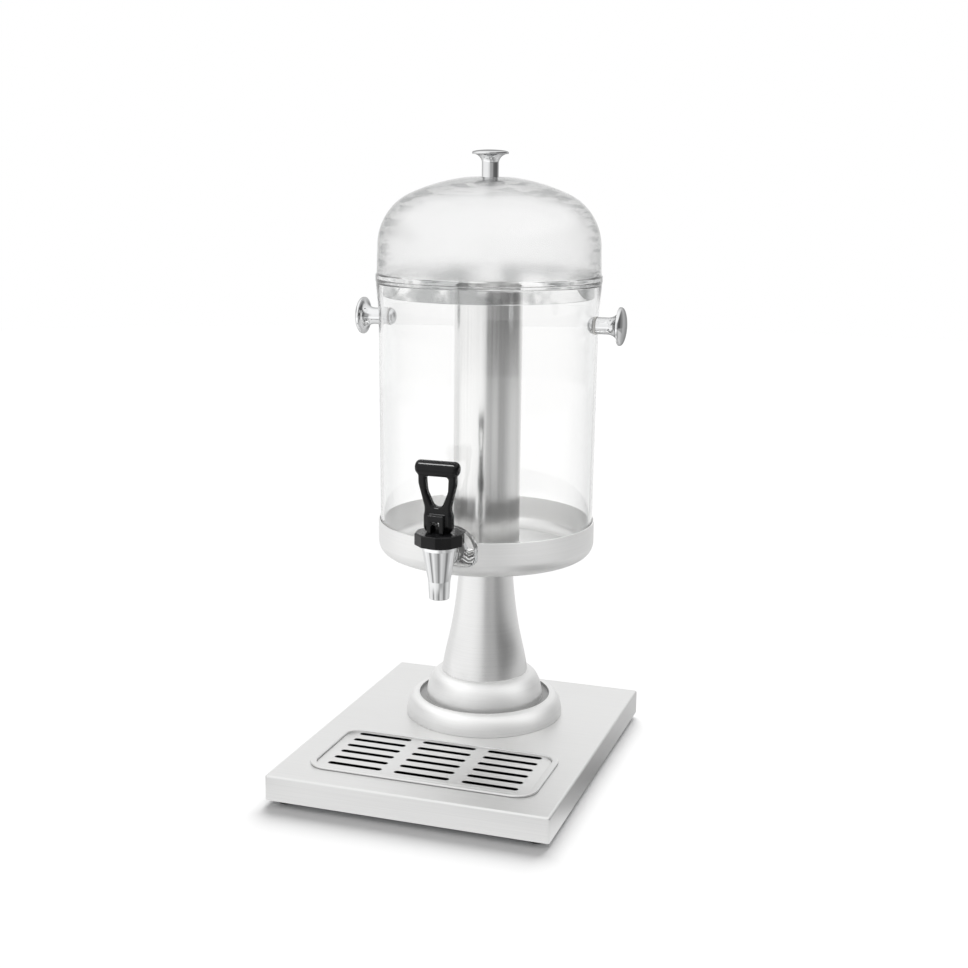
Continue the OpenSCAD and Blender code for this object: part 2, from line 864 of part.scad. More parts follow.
// Outline of the tank's outer surface, or of its inner one at wall thickness t and floor f
function tank_outline(t, f) = concat(
    [[0, tank_z + f]],
    arc(tank_foot_r - tank_fillet, tank_z + tank_fillet, tank_fillet - t, tank_fillet - f, -90, 0),
    [
        [tank_top_r - t, tank_rim_z - tank_flare_h],
        [tank_mouth_r - t, tank_rim_z],
    ]
);

module tank_outer() {
    rotate_extrude()
        polygon(concat(tank_outline(0, 0), [[0, tank_rim_z]]));
}

// The space inside the tank, drawn in from its wall by a gap
module tank_cavity(gap = 0) {
    t = tank_t + gap;
    rotate_extrude()
        polygon(concat(
            tank_outline(t, tank_floor_t),
            [[tank_mouth_r - t, tank_rim_z + eps], [0, tank_rim_z + eps]]
        ));
}

// Front view of the tap boss: a round arch over a square foot
module boss_arch() {
    intersection() {
        union() {
            translate([0, boss_up - boss_w / 2])
                circle(d = boss_w);
            translate([-boss_w / 2, -boss_down])
                square([boss_w, boss_down + boss_up - boss_w / 2]);
        }
        translate([-boss_w / 2, -boss_down])
            square([boss_w, boss_down + boss_up]);
    }
}

module tank() {
    color(clear) {
        difference() {
            union() {
                on_axis()
                    tank_outer();
                on_shank(tank_foot_r / 2)
                    linear_extrude(boss_front - tank_foot_r / 2)
                        boss_arch();
                on_shank(boss_front - eps)
                    cylinder(r = spigot_r, h = spigot_l + eps);
            }
            on_axis()
                tank_cavity();
            on_shank(inner_wall_r - tank_t)
                cylinder(r = shank_r + seat_gap, h = spigot_front - inner_wall_r + 2 * tank_t);
            for (side = [-1, 1])
                on_side(side, tank_top_r - 2 * tank_t)
                    cylinder(r = knob_screw_r + seat_gap, h = 3 * tank_t);
        }
        on_axis()
            translate([0, 0, tank_floor_z - eps])
                ring(tube_r + tube_gap + locator_t, tube_r + tube_gap, locator_h + eps);
    }
}

// Where a side knob's gasket, and its screw's head, meet the tank
side_wall_r = tank_r_at(side_knob_z);
side_inner_r = side_wall_r - tank_t;

module side_knob(side) {
    color(chrome)
        on_side(side, side_wall_r + side_gasket_t)
            turned_knob(side_knob_stem_l, side_knob_r, side_knob_flare, side_knob_dome);
}

module side_knob_gaskets() {
    color(silicone)
        for (side = [-1, 1])
            difference() {
                on_side(side, side_wall_r - side_gasket_t)
                    ring(side_gasket_r, knob_screw_r + seat_gap, 2 * side_gasket_t);
                on_axis()
                    tank_outer($fn = fine);
            }
}

module side_knob_screws() {
    color(chrome)
        for (side = [-1, 1])
            on_side(side, side_inner_r - 2 * seat_gap)
                dome_screw(
                    side_screw_head_r,
                    side_screw_head_h,
                    2 * seat_gap + tank_t + side_gasket_t + knob_screw_grip
                );
}

// The tap

module tap_body() {
    color(chrome)
        difference() {
            union() {
                on_tap()
                    rotate_extrude()
                        polygon([
                            [0, spout_z],
                            [spout_r, spout_z],
                            [tap_cone_r, cone_foot_z],
                            [tap_rim_r, cone_top_z],
                            [tap_rim_r, tap_rim_z],
                            [collar_thread_r, tap_rim_z],
                            [collar_thread_r, collar_thread_z],
                            [0, collar_thread_z],
                        ]);
                on_shank(shank_end_r)
                    cylinder(r = shank_r, h = spigot_front + tap_offset - shank_end_r);
                on_shank(spigot_front + outer_washer_t)
                    cylinder(r = shank_shoulder_r, h = shank_shoulder_t);
            }
            on_tap()
                translate([0, 0, chamber_z])
                    cylinder(r = chamber_r, h = collar_thread_z - chamber_z + eps);
            on_tap()
                translate([0, 0, spout_z - eps])
                    cylinder(r = spout_bore_r, h = chamber_z - spout_z + 2 * eps);
            on_shank(shank_end_r - eps)
                cylinder(r = shank_bore_r, h = spigot_front + tap_offset - shank_end_r + eps);
        }
}

module tap_outer_washer() {
    color(rubber)
        on_shank(spigot_front)
            ring(shank_shoulder_r, shank_r + thread_gap, outer_washer_t);
}

module tap_inner_washer() {
    color(rubber)
        intersection() {
            on_shank(nut_face_r)
                ring(inner_washer_r, shank_r + thread_gap, 2 * inner_washer_t);
            on_axis()
                tank_cavity(thread_gap, $fn = fine);
        }
}

module tap_shank_nut() {
    color(chrome)
        on_shank(nut_face_r - shank_nut_t)
            difference() {
                cylinder(r = shank_nut_r, h = shank_nut_t, $fn = nut_sides);
                translate([0, 0, -eps])
                    cylinder(r = shank_r + thread_gap, h = shank_nut_t + 2 * eps);
            }
}

module tap_bonnet() {
    color(black)
        on_tap()
            difference() {
                translate([0, 0, bonnet_z])
                    rotate([0, 0, bonnet_turn])
                        cylinder(r = bonnet_r, h = bonnet_h, $fn = bonnet_sides);
                translate([0, 0, bonnet_z - eps])
                    cylinder(r = collar_thread_r + thread_gap, h = collar_thread_z - bonnet_z + eps);
                translate([0, 0, bonnet_z])
                    cylinder(r = stem_r + thread_gap, h = bonnet_h + eps);
            }
}

// Return spring between the seat cup and the bonnet: one round wire on a helix
module tap_spring() {
    sides = 6;
    turn_steps = 12;
    coil_r = stem_r + 2 * spring_wire_r;
    low = cup_z + cup_h + spring_gap + spring_wire_r;
    high = collar_thread_z - spring_gap - spring_wire_r;
    last = spring_turns * turn_steps;
    points = [
        for (i = [0 : last], k = [0 : sides - 1])
            let (a = 360 * i / turn_steps, t = 360 * k / sides)
            let (r = coil_r + spring_wire_r * cos(t))
            [r * cos(a), r * sin(a), low + (high - low) * i / last + spring_wire_r * sin(t)]
    ];
    walls = [
        for (i = [0 : last - 1], k = [0 : sides - 1])
            let (a = i * sides + k, b = i * sides + (k + 1) % sides)
            each [[a, b, b + sides], [a, b + sides, a + sides]]
    ];
    ends = [
        [for (k = [sides - 1 : -1 : 0]) k],
        [for (k = [0 : sides - 1]) last * sides + k],
    ];
    color(chrome)
        on_tap()
            polyhedron(points, concat(walls, ends));
}

module tap_stem() {
    color(black)
        on_tap()
            difference() {
                union() {
                    translate([0, 0, cup_z + cup_h / 2])
                        cylinder(r = stem_r, h = pin_z - eye_half_h - cup_z - cup_h / 2 + eps);
                    translate([-eye_t / 2, -eye_front, pin_z - eye_half_h])
                        cube([eye_t, eye_front + eye_back, 2 * eye_half_h]);
                }
                translate([-eye_t, -pin_run - handle_pin_r - eye_gap, pin_z - handle_pin_r - eye_gap])
                    cube([2 * eye_t, pin_run + 2 * (handle_pin_r + eye_gap), 2 * (handle_pin_r + eye_gap)]);
            }
}

module tap_seat_cup() {
    color(silicone)
        on_tap()
            translate([0, 0, cup_z])
                difference() {
                    cylinder(r1 = cup_r, r2 = cup_r - cup_taper, h = cup_h);
                    translate([0, 0, cup_h / 2])
                        cylinder(r = stem_r + thread_gap, h = cup_h);
                }
}

// Front view of the handle's two arms and of the window between them
module handle_arms() {
    root = handle_foot_h / 2;
    window_top = grip_h - grip_r - eye_gap;
    window_low = handle_foot_h + arm_w;
    outer = [
        [-arms_foot_w / 2, root],
        [arms_foot_w / 2, root],
        [arms_foot_w / 2, window_low],
        [arms_w / 2, window_top - arm_w],
        [arms_w / 2, grip_h],
        [-arms_w / 2, grip_h],
        [-arms_w / 2, window_top - arm_w],
        [-arms_foot_w / 2, window_low],
    ];
    window = [
        [-window_foot_w / 2, window_low],
        [window_foot_w / 2, window_low],
        [window_bend_w / 2, window_low + window_bend_h],
        [arms_w / 2 - arm_w, window_top],
        [arm_w - arms_w / 2, window_top],
        [-window_bend_w / 2, window_low + window_bend_h],
    ];
    e = elbow_r;
    t = arm_top_r;
    low = window_low_r;
    bend = window_bend_r;
    top = window_top_r;
    difference() {
        polygon(round_outline(outer, [t, t, e, e, t, t, e, e]));
        polygon(round_outline(window, [low, low, bend, top, top, bend]));
    }
}

// The arms' plate is upright at the foot and leans forward above it, up to the grip bar
module tap_handle() {
    slot_w = 2 * (stem_r + eye_side_gap);
    foot_d = handle_foot_front + handle_foot_back;
    color(black)
        on_tap()
            translate([0, 0, handle_z])
                difference() {
                    union() {
                        translate([-handle_foot_w / 2, -handle_foot_front, 0])
                            cube([handle_foot_w, foot_d, handle_foot_h]);
                        translate([-arms_foot_w / 2, -arm_front - arm_d / 2, 0])
                            cube([arms_foot_w, arm_d, handle_foot_h]);
                        translate([0, -arm_front, 0])
                            rotate([atan(grip_lean / grip_h), 0, 0]) {
                                translate([0, arm_d / 2, 0])
                                    rotate([90, 0, 0])
                                        linear_extrude(arm_d)
                                            handle_arms();
                                translate([0, 0, grip_h])
                                    grip_bar();
                            }
                    }
                    translate([-slot_w / 2, -handle_foot_front - eps, -eps])
                        cube([slot_w, foot_d + 2 * eps, handle_slot_h + eps]);
                    translate([-arms_foot_w, 0, handle_pin_h])
                        rotate([0, 90, 0])
                            cylinder(r = handle_pin_r + thread_gap, h = 2 * arms_foot_w);
                }
}

// Grip bar along X with round ends
module grip_bar() {
    half = grip_l / 2;
    rotate([0, 90, 0])
        rotate_extrude()
            polygon(concat(
                [[0, -half]],
                arc(grip_r - grip_end_r, grip_end_r - half, grip_end_r, grip_end_r, -90, 0),
                arc(grip_r - grip_end_r, half - grip_end_r, grip_end_r, grip_end_r, 0, 90),
                [[0, half]]
            ));
}

module tap_handle_pin() {
    color(chrome)
        on_tap()
            translate([-arms_foot_w / 2, 0, pin_z])
                rotate([0, 90, 0])
                    cylinder(r = handle_pin_r, h = arms_foot_w);
}

// The ice tube

module ice_tube() {
    low = tank_floor_z + seat_gap;
    high = low + tube_l;
    lip_r = tube_lip / 2;
    color(steel)
        on_axis()
            rotate_extrude()
                polygon(concat(
                    [[0, low], [tube_r, low]],
                    arc(tube_r, high - lip_r, lip_r, lip_r, -90, 90),
                    [[tube_r - tube_t, high], [tube_r - tube_t, low + tube_t], [0, low + tube_t]]
                ));
}

// The lid

// Outline of the lid's dome, moved in by the wall's thickness t, from its foot to the knob's seat
function dome_outline(t) = concat(
    [[lid_r - t, lid_wall_z + lid_inset]],
    arc(shoulder_c, shoulder_z, shoulder_r - t, shoulder_r - t, 0, blend_angle),
    rest(arc(0, crown_c, crown_r - t, crown_r - t, blend_angle, dimple_angle)),
    [[seat_r, seat_z - t], [0, seat_z - t]]
);

module lid() {
    inner = dome_outline(lid_t);
    color(clear)
        on_axis()
            difference() {
                rotate_extrude()
                    polygon(concat(
                        [
                            [skirt_r - skirt_t, tank_rim_z - skirt_h],
                            [skirt_r, tank_rim_z - skirt_h],
                            [skirt_r, lid_z],
                            [flange_r, lid_z],
                            [flange_r, lid_wall_z],
                        ],
                        dome_outline(0),
                        [for (i = [len(inner) - 1 : -1 : 0]) inner[i]],
                        [[lid_r - lid_t, lid_z + lid_t], [skirt_r - skirt_t, lid_z + lid_t]]
                    ));
                translate([0, 0, seat_z - 2 * lid_t])
                    cylinder(r = knob_screw_r + seat_gap, h = 3 * lid_t);
            }
}

module lid_knob() {
    color(chrome)
        on_axis()
            translate([0, 0, seat_z]) {
                turned_knob(lid_knob_foot_h + lid_knob_stem_l, lid_knob_r, lid_knob_flare, lid_knob_dome);
                ring(lid_knob_foot_r, knob_stem_r - eps, lid_knob_foot_h);
            }
}

module lid_knob_washer() {
    color(clear)
        on_axis()
            translate([0, 0, seat_z - lid_t - lid_washer_t])
                ring(lid_washer_r, knob_screw_r + seat_gap, lid_washer_t);
}

module lid_knob_screw() {
    color(chrome)
        on_axis()
            translate([0, 0, seat_z - lid_t - lid_washer_t])
                dome_screw(lid_screw_head_r, lid_screw_head_h, lid_t + lid_washer_t + knob_screw_grip);
}

base_shell();
base_bottom_plate();
base_standoffs();
foot(-1, -1);  // foot_front_left
foot(1, -1);  // foot_front_right
foot(-1, 1);  // foot_rear_left
foot(1, 1);  // foot_rear_right
foot_screws();
pedestal_foot_ring();
pedestal_collar();
pedestal_column();
tie_rod();
tie_rod_washer();
tie_rod_nut();
dish_hub();
dish();
drip_tray();
drip_grate();
tank();
side_knob(-1);  // side_knob_left
side_knob(1);  // side_knob_right
side_knob_gaskets();
side_knob_screws();
tap_body();
tap_outer_washer();
tap_inner_washer();
tap_shank_nut();
tap_bonnet();
tap_spring();
tap_stem();
tap_seat_cup();
tap_handle();
tap_handle_pin();
ice_tube();
lid();
lid_knob();
lid_knob_washer();
lid_knob_screw();
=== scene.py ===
# Frame: the imported dispenser, loaded as it is.
import json

import bmesh
import bpy
import numpy as np
from mathutils import Matrix, Vector
from mathutils.geometry import delaunay_2d_cdt

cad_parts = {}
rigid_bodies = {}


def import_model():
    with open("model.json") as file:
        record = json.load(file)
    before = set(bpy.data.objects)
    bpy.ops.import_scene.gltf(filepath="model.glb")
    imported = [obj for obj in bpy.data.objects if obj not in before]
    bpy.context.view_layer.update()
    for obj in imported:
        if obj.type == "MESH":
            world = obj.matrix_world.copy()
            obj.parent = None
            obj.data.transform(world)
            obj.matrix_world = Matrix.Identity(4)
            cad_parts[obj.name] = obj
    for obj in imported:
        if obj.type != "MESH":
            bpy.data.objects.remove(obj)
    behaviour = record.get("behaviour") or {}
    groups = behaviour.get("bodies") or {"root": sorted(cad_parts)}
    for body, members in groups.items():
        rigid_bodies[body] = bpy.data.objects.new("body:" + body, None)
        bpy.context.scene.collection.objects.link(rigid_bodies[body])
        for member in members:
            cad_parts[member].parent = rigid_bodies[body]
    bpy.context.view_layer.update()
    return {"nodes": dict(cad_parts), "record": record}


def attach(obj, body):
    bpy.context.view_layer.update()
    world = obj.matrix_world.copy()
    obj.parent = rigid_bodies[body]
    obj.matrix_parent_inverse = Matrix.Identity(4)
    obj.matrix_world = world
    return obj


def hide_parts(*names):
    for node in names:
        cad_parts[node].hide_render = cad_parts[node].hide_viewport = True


scene = bpy.context.scene
for leftover in list(bpy.data.objects):
    bpy.data.objects.remove(leftover)
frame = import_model()
parts = frame["nodes"]
scene.view_settings.view_transform = "Standard"


# Camera: a long lens a little right of the front and above the middle, as the photograph was taken.
eye = Vector((0.4452, -1.2928, 0.5673))
eye_turn, eye_rise, eye_roll = np.radians((18.35, 12.11, 0.63))
lens_mm, sensor_mm = 55.22, 36.0

back = Vector((np.sin(eye_turn) * np.cos(eye_rise), -np.cos(eye_turn) * np.cos(eye_rise), np.sin(eye_rise)))
level = Vector((np.cos(eye_turn), np.sin(eye_turn), 0.0))
above = back.cross(level)
across = level * np.cos(eye_roll) + above * np.sin(eye_roll)
upward = above * np.cos(eye_roll) - level * np.sin(eye_roll)
lens = bpy.data.cameras.new("camera")
lens.sensor_width = sensor_mm
lens.lens = lens_mm
lens.clip_start = 0.01
camera = bpy.data.objects.new("camera", lens)
camera.matrix_world = Matrix.Translation(eye) @ Matrix((across, upward, back)).transposed().to_4x4()
scene.collection.objects.link(camera)
scene.camera = camera


# Studio: a white sweep under and behind the dispenser, one broad soft lamp high at the back, and soft boxes
# that light single pieces. The world is white on the left and greyer on the right, and the sweep, as
# mirrored, glows with a painted reflection of that room, which the steel and the chrome mirror.
MM = 0.001
UPRIGHT = np.eye(3)
axis = (0.0, 58.0, 0.0)
sweep_radius, paper_lit, paper_seen = 4000.0, 0.8, 1.2
room_dark, room_top, room_back, room_fill = 0.15, 1.1, 0.95, 0.36


def source(tree, kind):
    """Outputs of a new shader node that needs no inputs."""
    return tree.nodes.new("ShaderNode" + kind).outputs


def add(kind, inputs, **options):
    """Adds a shader node to the tree that its inputs come from, and gives its outputs. Inputs are sockets
    or values, and options are the node's settings."""
    links = {key: value for key, value in inputs.items() if isinstance(value, bpy.types.NodeSocket)}
    tree = next(iter(links.values())).id_data
    made = tree.nodes.new("ShaderNode" + kind)
    for key, value in options.items():
        setattr(made, key, value)
    for key, value in inputs.items():
        if key in links:
            tree.links.new(value, made.inputs[key])
        else:
            made.inputs[key].default_value = value
    return made.outputs


def math(operation, *values):
    """One sum on values or sockets."""
    return add("Math", dict(enumerate(values)), operation=operation)[0]


def vector(operation, *values):
    """One sum on vectors."""
    return add("VectorMath", dict(enumerate(values)), operation=operation)[0]


def split(spot):
    """X, Y and Z of a vector."""
    return add("SeparateXYZ", {0: spot})


def blend(share, *colours):
    """Mix of two colours by a share: a colour is a socket, a grey value or three values."""
    ends = [colour if isinstance(colour, bpy.types.NodeSocket) else (*np.broadcast_to(colour, 3), 1.0)
            for colour in colours]
    return add("Mix", {0: share, 6: ends[0], 7: ends[1]}, data_type="RGBA")[2]


def remap(value, low, high, to_low=0.0, to_high=1.0):
    """Smooth step from one value at low to another at high."""
    inputs = {"Value": value, "From Min": low, "From Max": high, "To Min": to_low, "To Max": to_high}
    return add("MapRange", inputs, interpolation_type="SMOOTHSTEP")["Result"]


def from_axis(spot):
    """Vector from the foot of the tank's axis to a spot, and the spot's distance from the axis."""
    apart = vector("SUBTRACT", spot, (0.0, axis[1] * MM, 0.0))
    way = split(apart)
    squares = [math("POWER", way[side], 2.0) for side in ("X", "Y")]
    return apart, math("SQRT", math("ADD", *squares))


def blank_material(name):
    """Material with a new node tree, and the piece's own coordinates in it."""
    material = bpy.data.materials.new(name)
    material.use_nodes = True
    material.node_tree.nodes.clear()
    return material, source(material.node_tree, "TexCoord")["Object"]


def show(shader):
    """Ends a material's tree in its output."""
    add("OutputMaterial", {"Surface": shader})


def close(mesh, sharp):
    """Merges doubled points, drops faces without area, turns all faces outwards and shades them smoothly,
    apart from edges sharper than an angle in degrees."""
    work = bmesh.new()
    work.from_mesh(mesh)
    bmesh.ops.remove_doubles(work, verts=work.verts, dist=1e-6)
    bmesh.ops.dissolve_degenerate(work, edges=work.edges, dist=1e-7)
    bmesh.ops.recalc_face_normals(work, faces=work.faces)
    work.to_mesh(mesh)
    work.free()
    mesh.polygons.foreach_set("use_smooth", np.ones(len(mesh.polygons), bool))
    mesh.set_sharp_from_angle(angle=np.radians(sharp))


def piece_of(name, points, faces, sharp=32):
    """Object of points in millimetres and faces, closed and shaded."""
    mesh = bpy.data.meshes.new(name)
    mesh.from_pydata((np.reshape(points, (-1, 3)) * MM).tolist(), [], faces)
    close(mesh, sharp)
    made = bpy.data.objects.new(name, mesh)
    scene.collection.objects.link(made)
    return made


def quads_of(rows, count, along=False, start=0):
    """Numbers of the points on a grid of rings x points, and the quads between neighbours: each ring joins up
    round itself, and the last ring joins the first when along is set."""
    index = start + np.arange(rows * count).reshape(rows, count)
    grid = np.concatenate([index, index[:, :1]], axis=1)
    if along:
        grid = np.concatenate([grid, grid[:1]], axis=0)
    quads = np.stack([grid[:-1, :-1], grid[:-1, 1:], grid[1:, 1:], grid[1:, :-1]], axis=-1)
    return index, quads.reshape(-1, 4).tolist()


def skin(name, rings, along=False, caps=False, sharp=32):
    """Surface over a grid of rings x points; caps close the end rings."""
    index, faces = quads_of(*rings.shape[:2], along)
    if caps:
        faces += [index[0, ::-1].tolist(), index[-1].tolist()]
    return piece_of(name, rings, faces, sharp)


def turned(name, profile, middle, axes=UPRIGHT, steps=144):
    """Surface of revolution: profile points (radius, height) carried round an axis, the third row of axes,
    through the middle. A profile that starts on the axis ends there, and any other one joins up."""
    turn = np.linspace(0.0, 2 * np.pi, steps, endpoint=False)
    radius, height = profile[:, :1], profile[:, 1:]
    rings = np.stack([radius * np.cos(turn), radius * np.sin(turn), height + 0.0 * turn], axis=-1)
    return skin(name, rings @ axes + np.asarray(middle), along=profile[0, 0] > 0)


def wear(piece, material):
    """Gives a new piece its one material."""
    piece.data.materials.clear()
    piece.data.materials.append(material)


# Brightness of the room as the metal sees it, by the bearing of a point or direction from the axis,
# in degrees from the front towards the right; the sweep glows with it as mirrored, a painted reflection.
# Between its two reaches, each floor zone takes over.
card_stops = {-180: 1.05, -140: 0.97, -100: 0.88, -80: 1.05, -24: 1.05, 2: 0.88, 20: 0.46, 31: 0.42,
              46: 0.44, 62: 0.2, 80: 0.12, 122: 0.12, 140: 0.3, 160: 0.9, 180: 1.05}
near_stops = {-180: 0.95, -171: 0.5, -156: 0.5, -142: 0.92, -100: 0.86, -60: 0.95, -30: 0.9, 38: 0.9,
              50: 0.45, 66: 0.31, 96: 0.46, 122: 0.6, 136: 0.7, 152: 0.5, 170: 0.5, 180: 0.95}
streak_stops = {-180: 0.9, -90: 0.85, -76: 1.05, -48: 0.9, -38: 0.3, -21: 0.95, -4: 0.6, 10: 0.28,
                26: 0.75, 42: 0.6, 57: 0.22, 76: 0.55, 92: 0.8, 140: 0.7, 180: 0.9}
column_stops = {-180: 0.95, -142: 0.92, -100: 0.92, -80: 1.1, -24: 1.05, 2: 0.88, 20: 0.46, 31: 0.42,
                46: 0.46, 63: 0.38, 78: 0.46, 96: 0.64, 111: 0.76, 132: 0.84, 160: 0.8, 180: 0.95}
tube_stops = {-180: 1.0, -140: 0.95, -100: 0.9, -80: 1.2, -24: 1.22, -3: 1.2, 8: 1.0, 18: 0.62, 28: 0.55,
              40: 0.72, 49: 0.7, 60: 0.43, 72: 0.43, 84: 0.52, 96: 0.64, 110: 0.75, 128: 0.74, 145: 0.68,
              160: 0.8, 180: 1.0}
far_stops = {-180: 1.0, 10: 1.0, 16: 0.12, 50: 0.15, 60: 0.3, 140: 0.45, 152: 0.8, 180: 1.0}
floor_zones = ((0.3, 0.36, streak_stops), (0.5, 0.58, column_stops), (0.85, 0.95, tube_stops),
               (2.3, 2.4, far_stops))


def bearing_ramp(spot, stops):
    """Brightness by bearing: the angle of a direction from the front towards the right, through a ramp."""
    way = split(spot)
    bearing = math("ARCTAN2", way["X"], math("MULTIPLY", way["Y"], -1.0))
    colour = add("ValToRGB", {"Fac": math("MULTIPLY_ADD", bearing, 0.5 / np.pi, 0.5)})["Color"]
    ramp = colour.node.color_ramp
    ramp.interpolation = "EASE"
    for stop, (degrees, value) in enumerate(stops.items()):
        if stop > 1:
            ramp.elements.new(degrees / 360 + 0.5)
        mark = ramp.elements[stop]
        mark.position = degrees / 360 + 0.5
        mark.color = (value, value, value, 1.0)
    return colour


sweep_reach = np.linspace(0.0, 1.0, 9) * sweep_radius
sweep = turned("sweep", np.column_stack([sweep_reach, 0.0 * sweep_reach]), (0.0, 0.0, 0.0), steps=64)
sweep_white_painted_room, spot = blank_material("sweep_white_painted_room")
ray = source(spot.id_data, "LightPath")
seen = math("MAXIMUM", math("MAXIMUM", ray["Is Camera Ray"], ray["Is Glossy Ray"]),
            ray["Is Transmission Ray"])
paper = add("BsdfDiffuse", {"Color": blend(seen, paper_lit, paper_seen)})[0]
# Painted reflection: as mirrored, the sweep glows with the room's brightness by bearing and reach, not its
# own shading.
apart, reach = from_axis(spot)
standing = bearing_ramp(apart, near_stops)
for start, end, stops in floor_zones:
    standing = blend(remap(reach, start, end), standing, bearing_ramp(apart, stops))
painted_room_glow = add("Emission", {"Color": standing})[0]
mirrored = math("MULTIPLY", math("GREATER_THAN", ray["Glossy Depth"], 0.5),
                math("LESS_THAN", ray["Diffuse Depth"], 0.5))
show(add("MixShader", {0: mirrored, 1: paper, 2: painted_room_glow})[0])
sweep_white_painted_room.cycles.emission_sampling = "NONE"
wear(sweep, sweep_white_painted_room)

room = bpy.data.worlds.new("room")
room.use_nodes = True
scene.world = room
tree = room.node_tree
tree.nodes.clear()
ray = source(tree, "LightPath")
aim = source(tree, "TexCoord")["Generated"]
way = split(aim)
band = math("MULTIPLY", remap(way["Z"], 0.1, 0.2),
            remap(math("ABSOLUTE", way["X"]), 0.8, 0.95))
walls = blend(band, bearing_ramp(aim, card_stops), room_dark)
ceiling = blend(remap(way["Y"], 0.1, 0.45), room_top, room_back)
picture = blend(remap(way["Z"], 0.3, 0.6), walls, ceiling)
mirrored = math("GREATER_THAN", ray["Glossy Depth"], 0.5)
scattered = math("GREATER_THAN", ray["Diffuse Depth"], 0.5)
shown = blend(scattered, blend(mirrored, 1.0, picture), room_fill)
backdrop = add("Background", {"Color": shown})[0]
add("OutputWorld", {"Surface": backdrop})
room.cycles.sampling_method = "NONE"

key = bpy.data.lights.new("key", "SUN")
key.energy = 2.4
key.angle = np.radians(46)
key_lamp = bpy.data.objects.new("key", key)
key_lamp.rotation_euler = Vector((-0.15, 1.0, 0.95)).to_track_quat("Z", "Y").to_euler()
key_lamp.visible_glossy = False
key_lamp.visible_transmission = False
scene.collection.objects.link(key_lamp)
low_pieces = bpy.data.collections.new("low pieces")
key_lamp.light_linking.blocker_collection = low_pieces


def softbox(name, width, height, watts, place, target, through=False):
    """Rectangular soft lamp that points at a target, with a collection of the pieces that it lights;
    set through, and only those pieces shade each other."""
    lamp = bpy.data.lights.new(name, "AREA")
    lamp.shape = "RECTANGLE"
    lamp.size, lamp.size_y, lamp.energy = width, height, watts
    holder = bpy.data.objects.new(name, lamp)
    holder.location = place
    holder.rotation_euler = (Vector(place) - Vector(target)).to_track_quat("Z", "Y").to_euler()
    holder.visible_camera = False
    scene.collection.objects.link(holder)
    takers = bpy.data.collections.new(name + " pieces")
    holder.light_linking.receiver_collection = takers
    if through:
        holder.light_linking.blocker_collection = takers
    return takers


strip_pieces = softbox("strip", 0.9, 0.3, 26.0, (-0.3, -0.75, 1.6), (0.0, -0.05, 0.3))
dish_pieces = softbox("right bounce", 1.3, 0.7, 4.8, (1.3, -0.5, 0.45), (0.0, 0.05, 0.21), through=True)
rear_pieces = softbox("rear bounce", 1.6, 0.6, 1.5, (0.1, 1.4, 0.95), (0.0, 0.05, 0.2), through=True)
inner_pieces = softbox("inner glow", 0.1, 0.03, 0.055, (-0.01, -0.015, 0.265), (0.0, 0.16, 0.215),
                       through=True)
bell_pieces = softbox("bell light", 1.6, 1.6, 4.4, (-0.5, -0.2, 1.2), (0.0, 0.03, 0.05), through=True)
bell_right_pieces = softbox("bell right", 1.0, 0.8, 2.4, (1.2, 0.05, 0.5), (0.0, 0.03, 0.05), through=True)


# Feet: four turned rubber buffers under the corners of the base, each held by a screw sunk in its bore.
# Moulded black rubber, a little dusty, with soft edges.
foot_places = {"foot_front_left": (-118.5, -152.0), "foot_front_right": (118.5, -152.0),
               "foot_rear_left": (-118.5, 152.0), "foot_rear_right": (118.5, 152.0)}
foot_top, foot_bore, foot_step, screw_bore = 5.0, 3.9, 3.0, 2.05


def rounded(*runs, steps=6, closed=True):
    """Outline through runs of corners (x, y, radius), each one replaced by an arc of its radius: the arc's
    centre lies on the corner's bisector, radius / sin(half its angle) away, and its points are turned
    evenly between the two tangent points."""
    corners = np.concatenate(runs)
    spots, radii = corners[:, :2], corners[:, 2:]
    before, after = np.roll(spots, 1, axis=0) - spots, np.roll(spots, -1, axis=0) - spots
    before /= np.linalg.norm(before, axis=1, keepdims=True) + 1e-12
    after /= np.linalg.norm(after, axis=1, keepdims=True) + 1e-12
    half = np.arccos(np.clip((before * after).sum(1, keepdims=True), -1 + 1e-9, 1 - 1e-9)) / 2
    middle = before + after
    middle /= np.linalg.norm(middle, axis=1, keepdims=True) + 1e-12
    centre = spots + middle * radii / np.sin(half)
    start = spots + before * radii / np.tan(half) - centre
    end = spots + after * radii / np.tan(half) - centre
    part = np.linspace(0.0, 1.0, steps + 1)[None, :, None]
    swept = (np.pi - 2 * half)[:, :, None]
    arcs = centre[:, None] + (np.sin((1 - part) * swept) * start[:, None]
                              + np.sin(part * swept) * end[:, None]) / np.sin(swept)
    arcs = np.where(radii[:, :, None] > 0, arcs, spots[:, None])
    if not closed:
        arcs[0], arcs[-1] = spots[0], spots[-1]
    path = arcs.reshape(-1, 2)
    step = np.linalg.norm(np.diff(path, axis=0), axis=1)
    path = path[np.concatenate([[True], step > 1e-4])]
    if closed and np.linalg.norm(path[0] - path[-1]) < 1e-4:
        path = path[:-1]
    return path


def group_of(name, output, **values):
    """Node group with a vector and values as its inputs, and one value as its output."""
    group = bpy.data.node_groups.new(name, "ShaderNodeTree")
    group.interface.new_socket("Vector", in_out="INPUT", socket_type="NodeSocketVector")
    for label, value in values.items():
        group.interface.new_socket(label, in_out="INPUT", socket_type="NodeSocketFloat").default_value = value
    group.interface.new_socket(output, in_out="OUTPUT", socket_type="NodeSocketFloat")
    return group, group.nodes.new("NodeGroupInput").outputs, group.nodes.new("NodeGroupOutput")


def use(group, spot, **values):
    """Places a node group in a material, on a coordinate, and gives its one output."""
    return add("Group", {"Vector": spot, **values}, node_tree=group)[0]


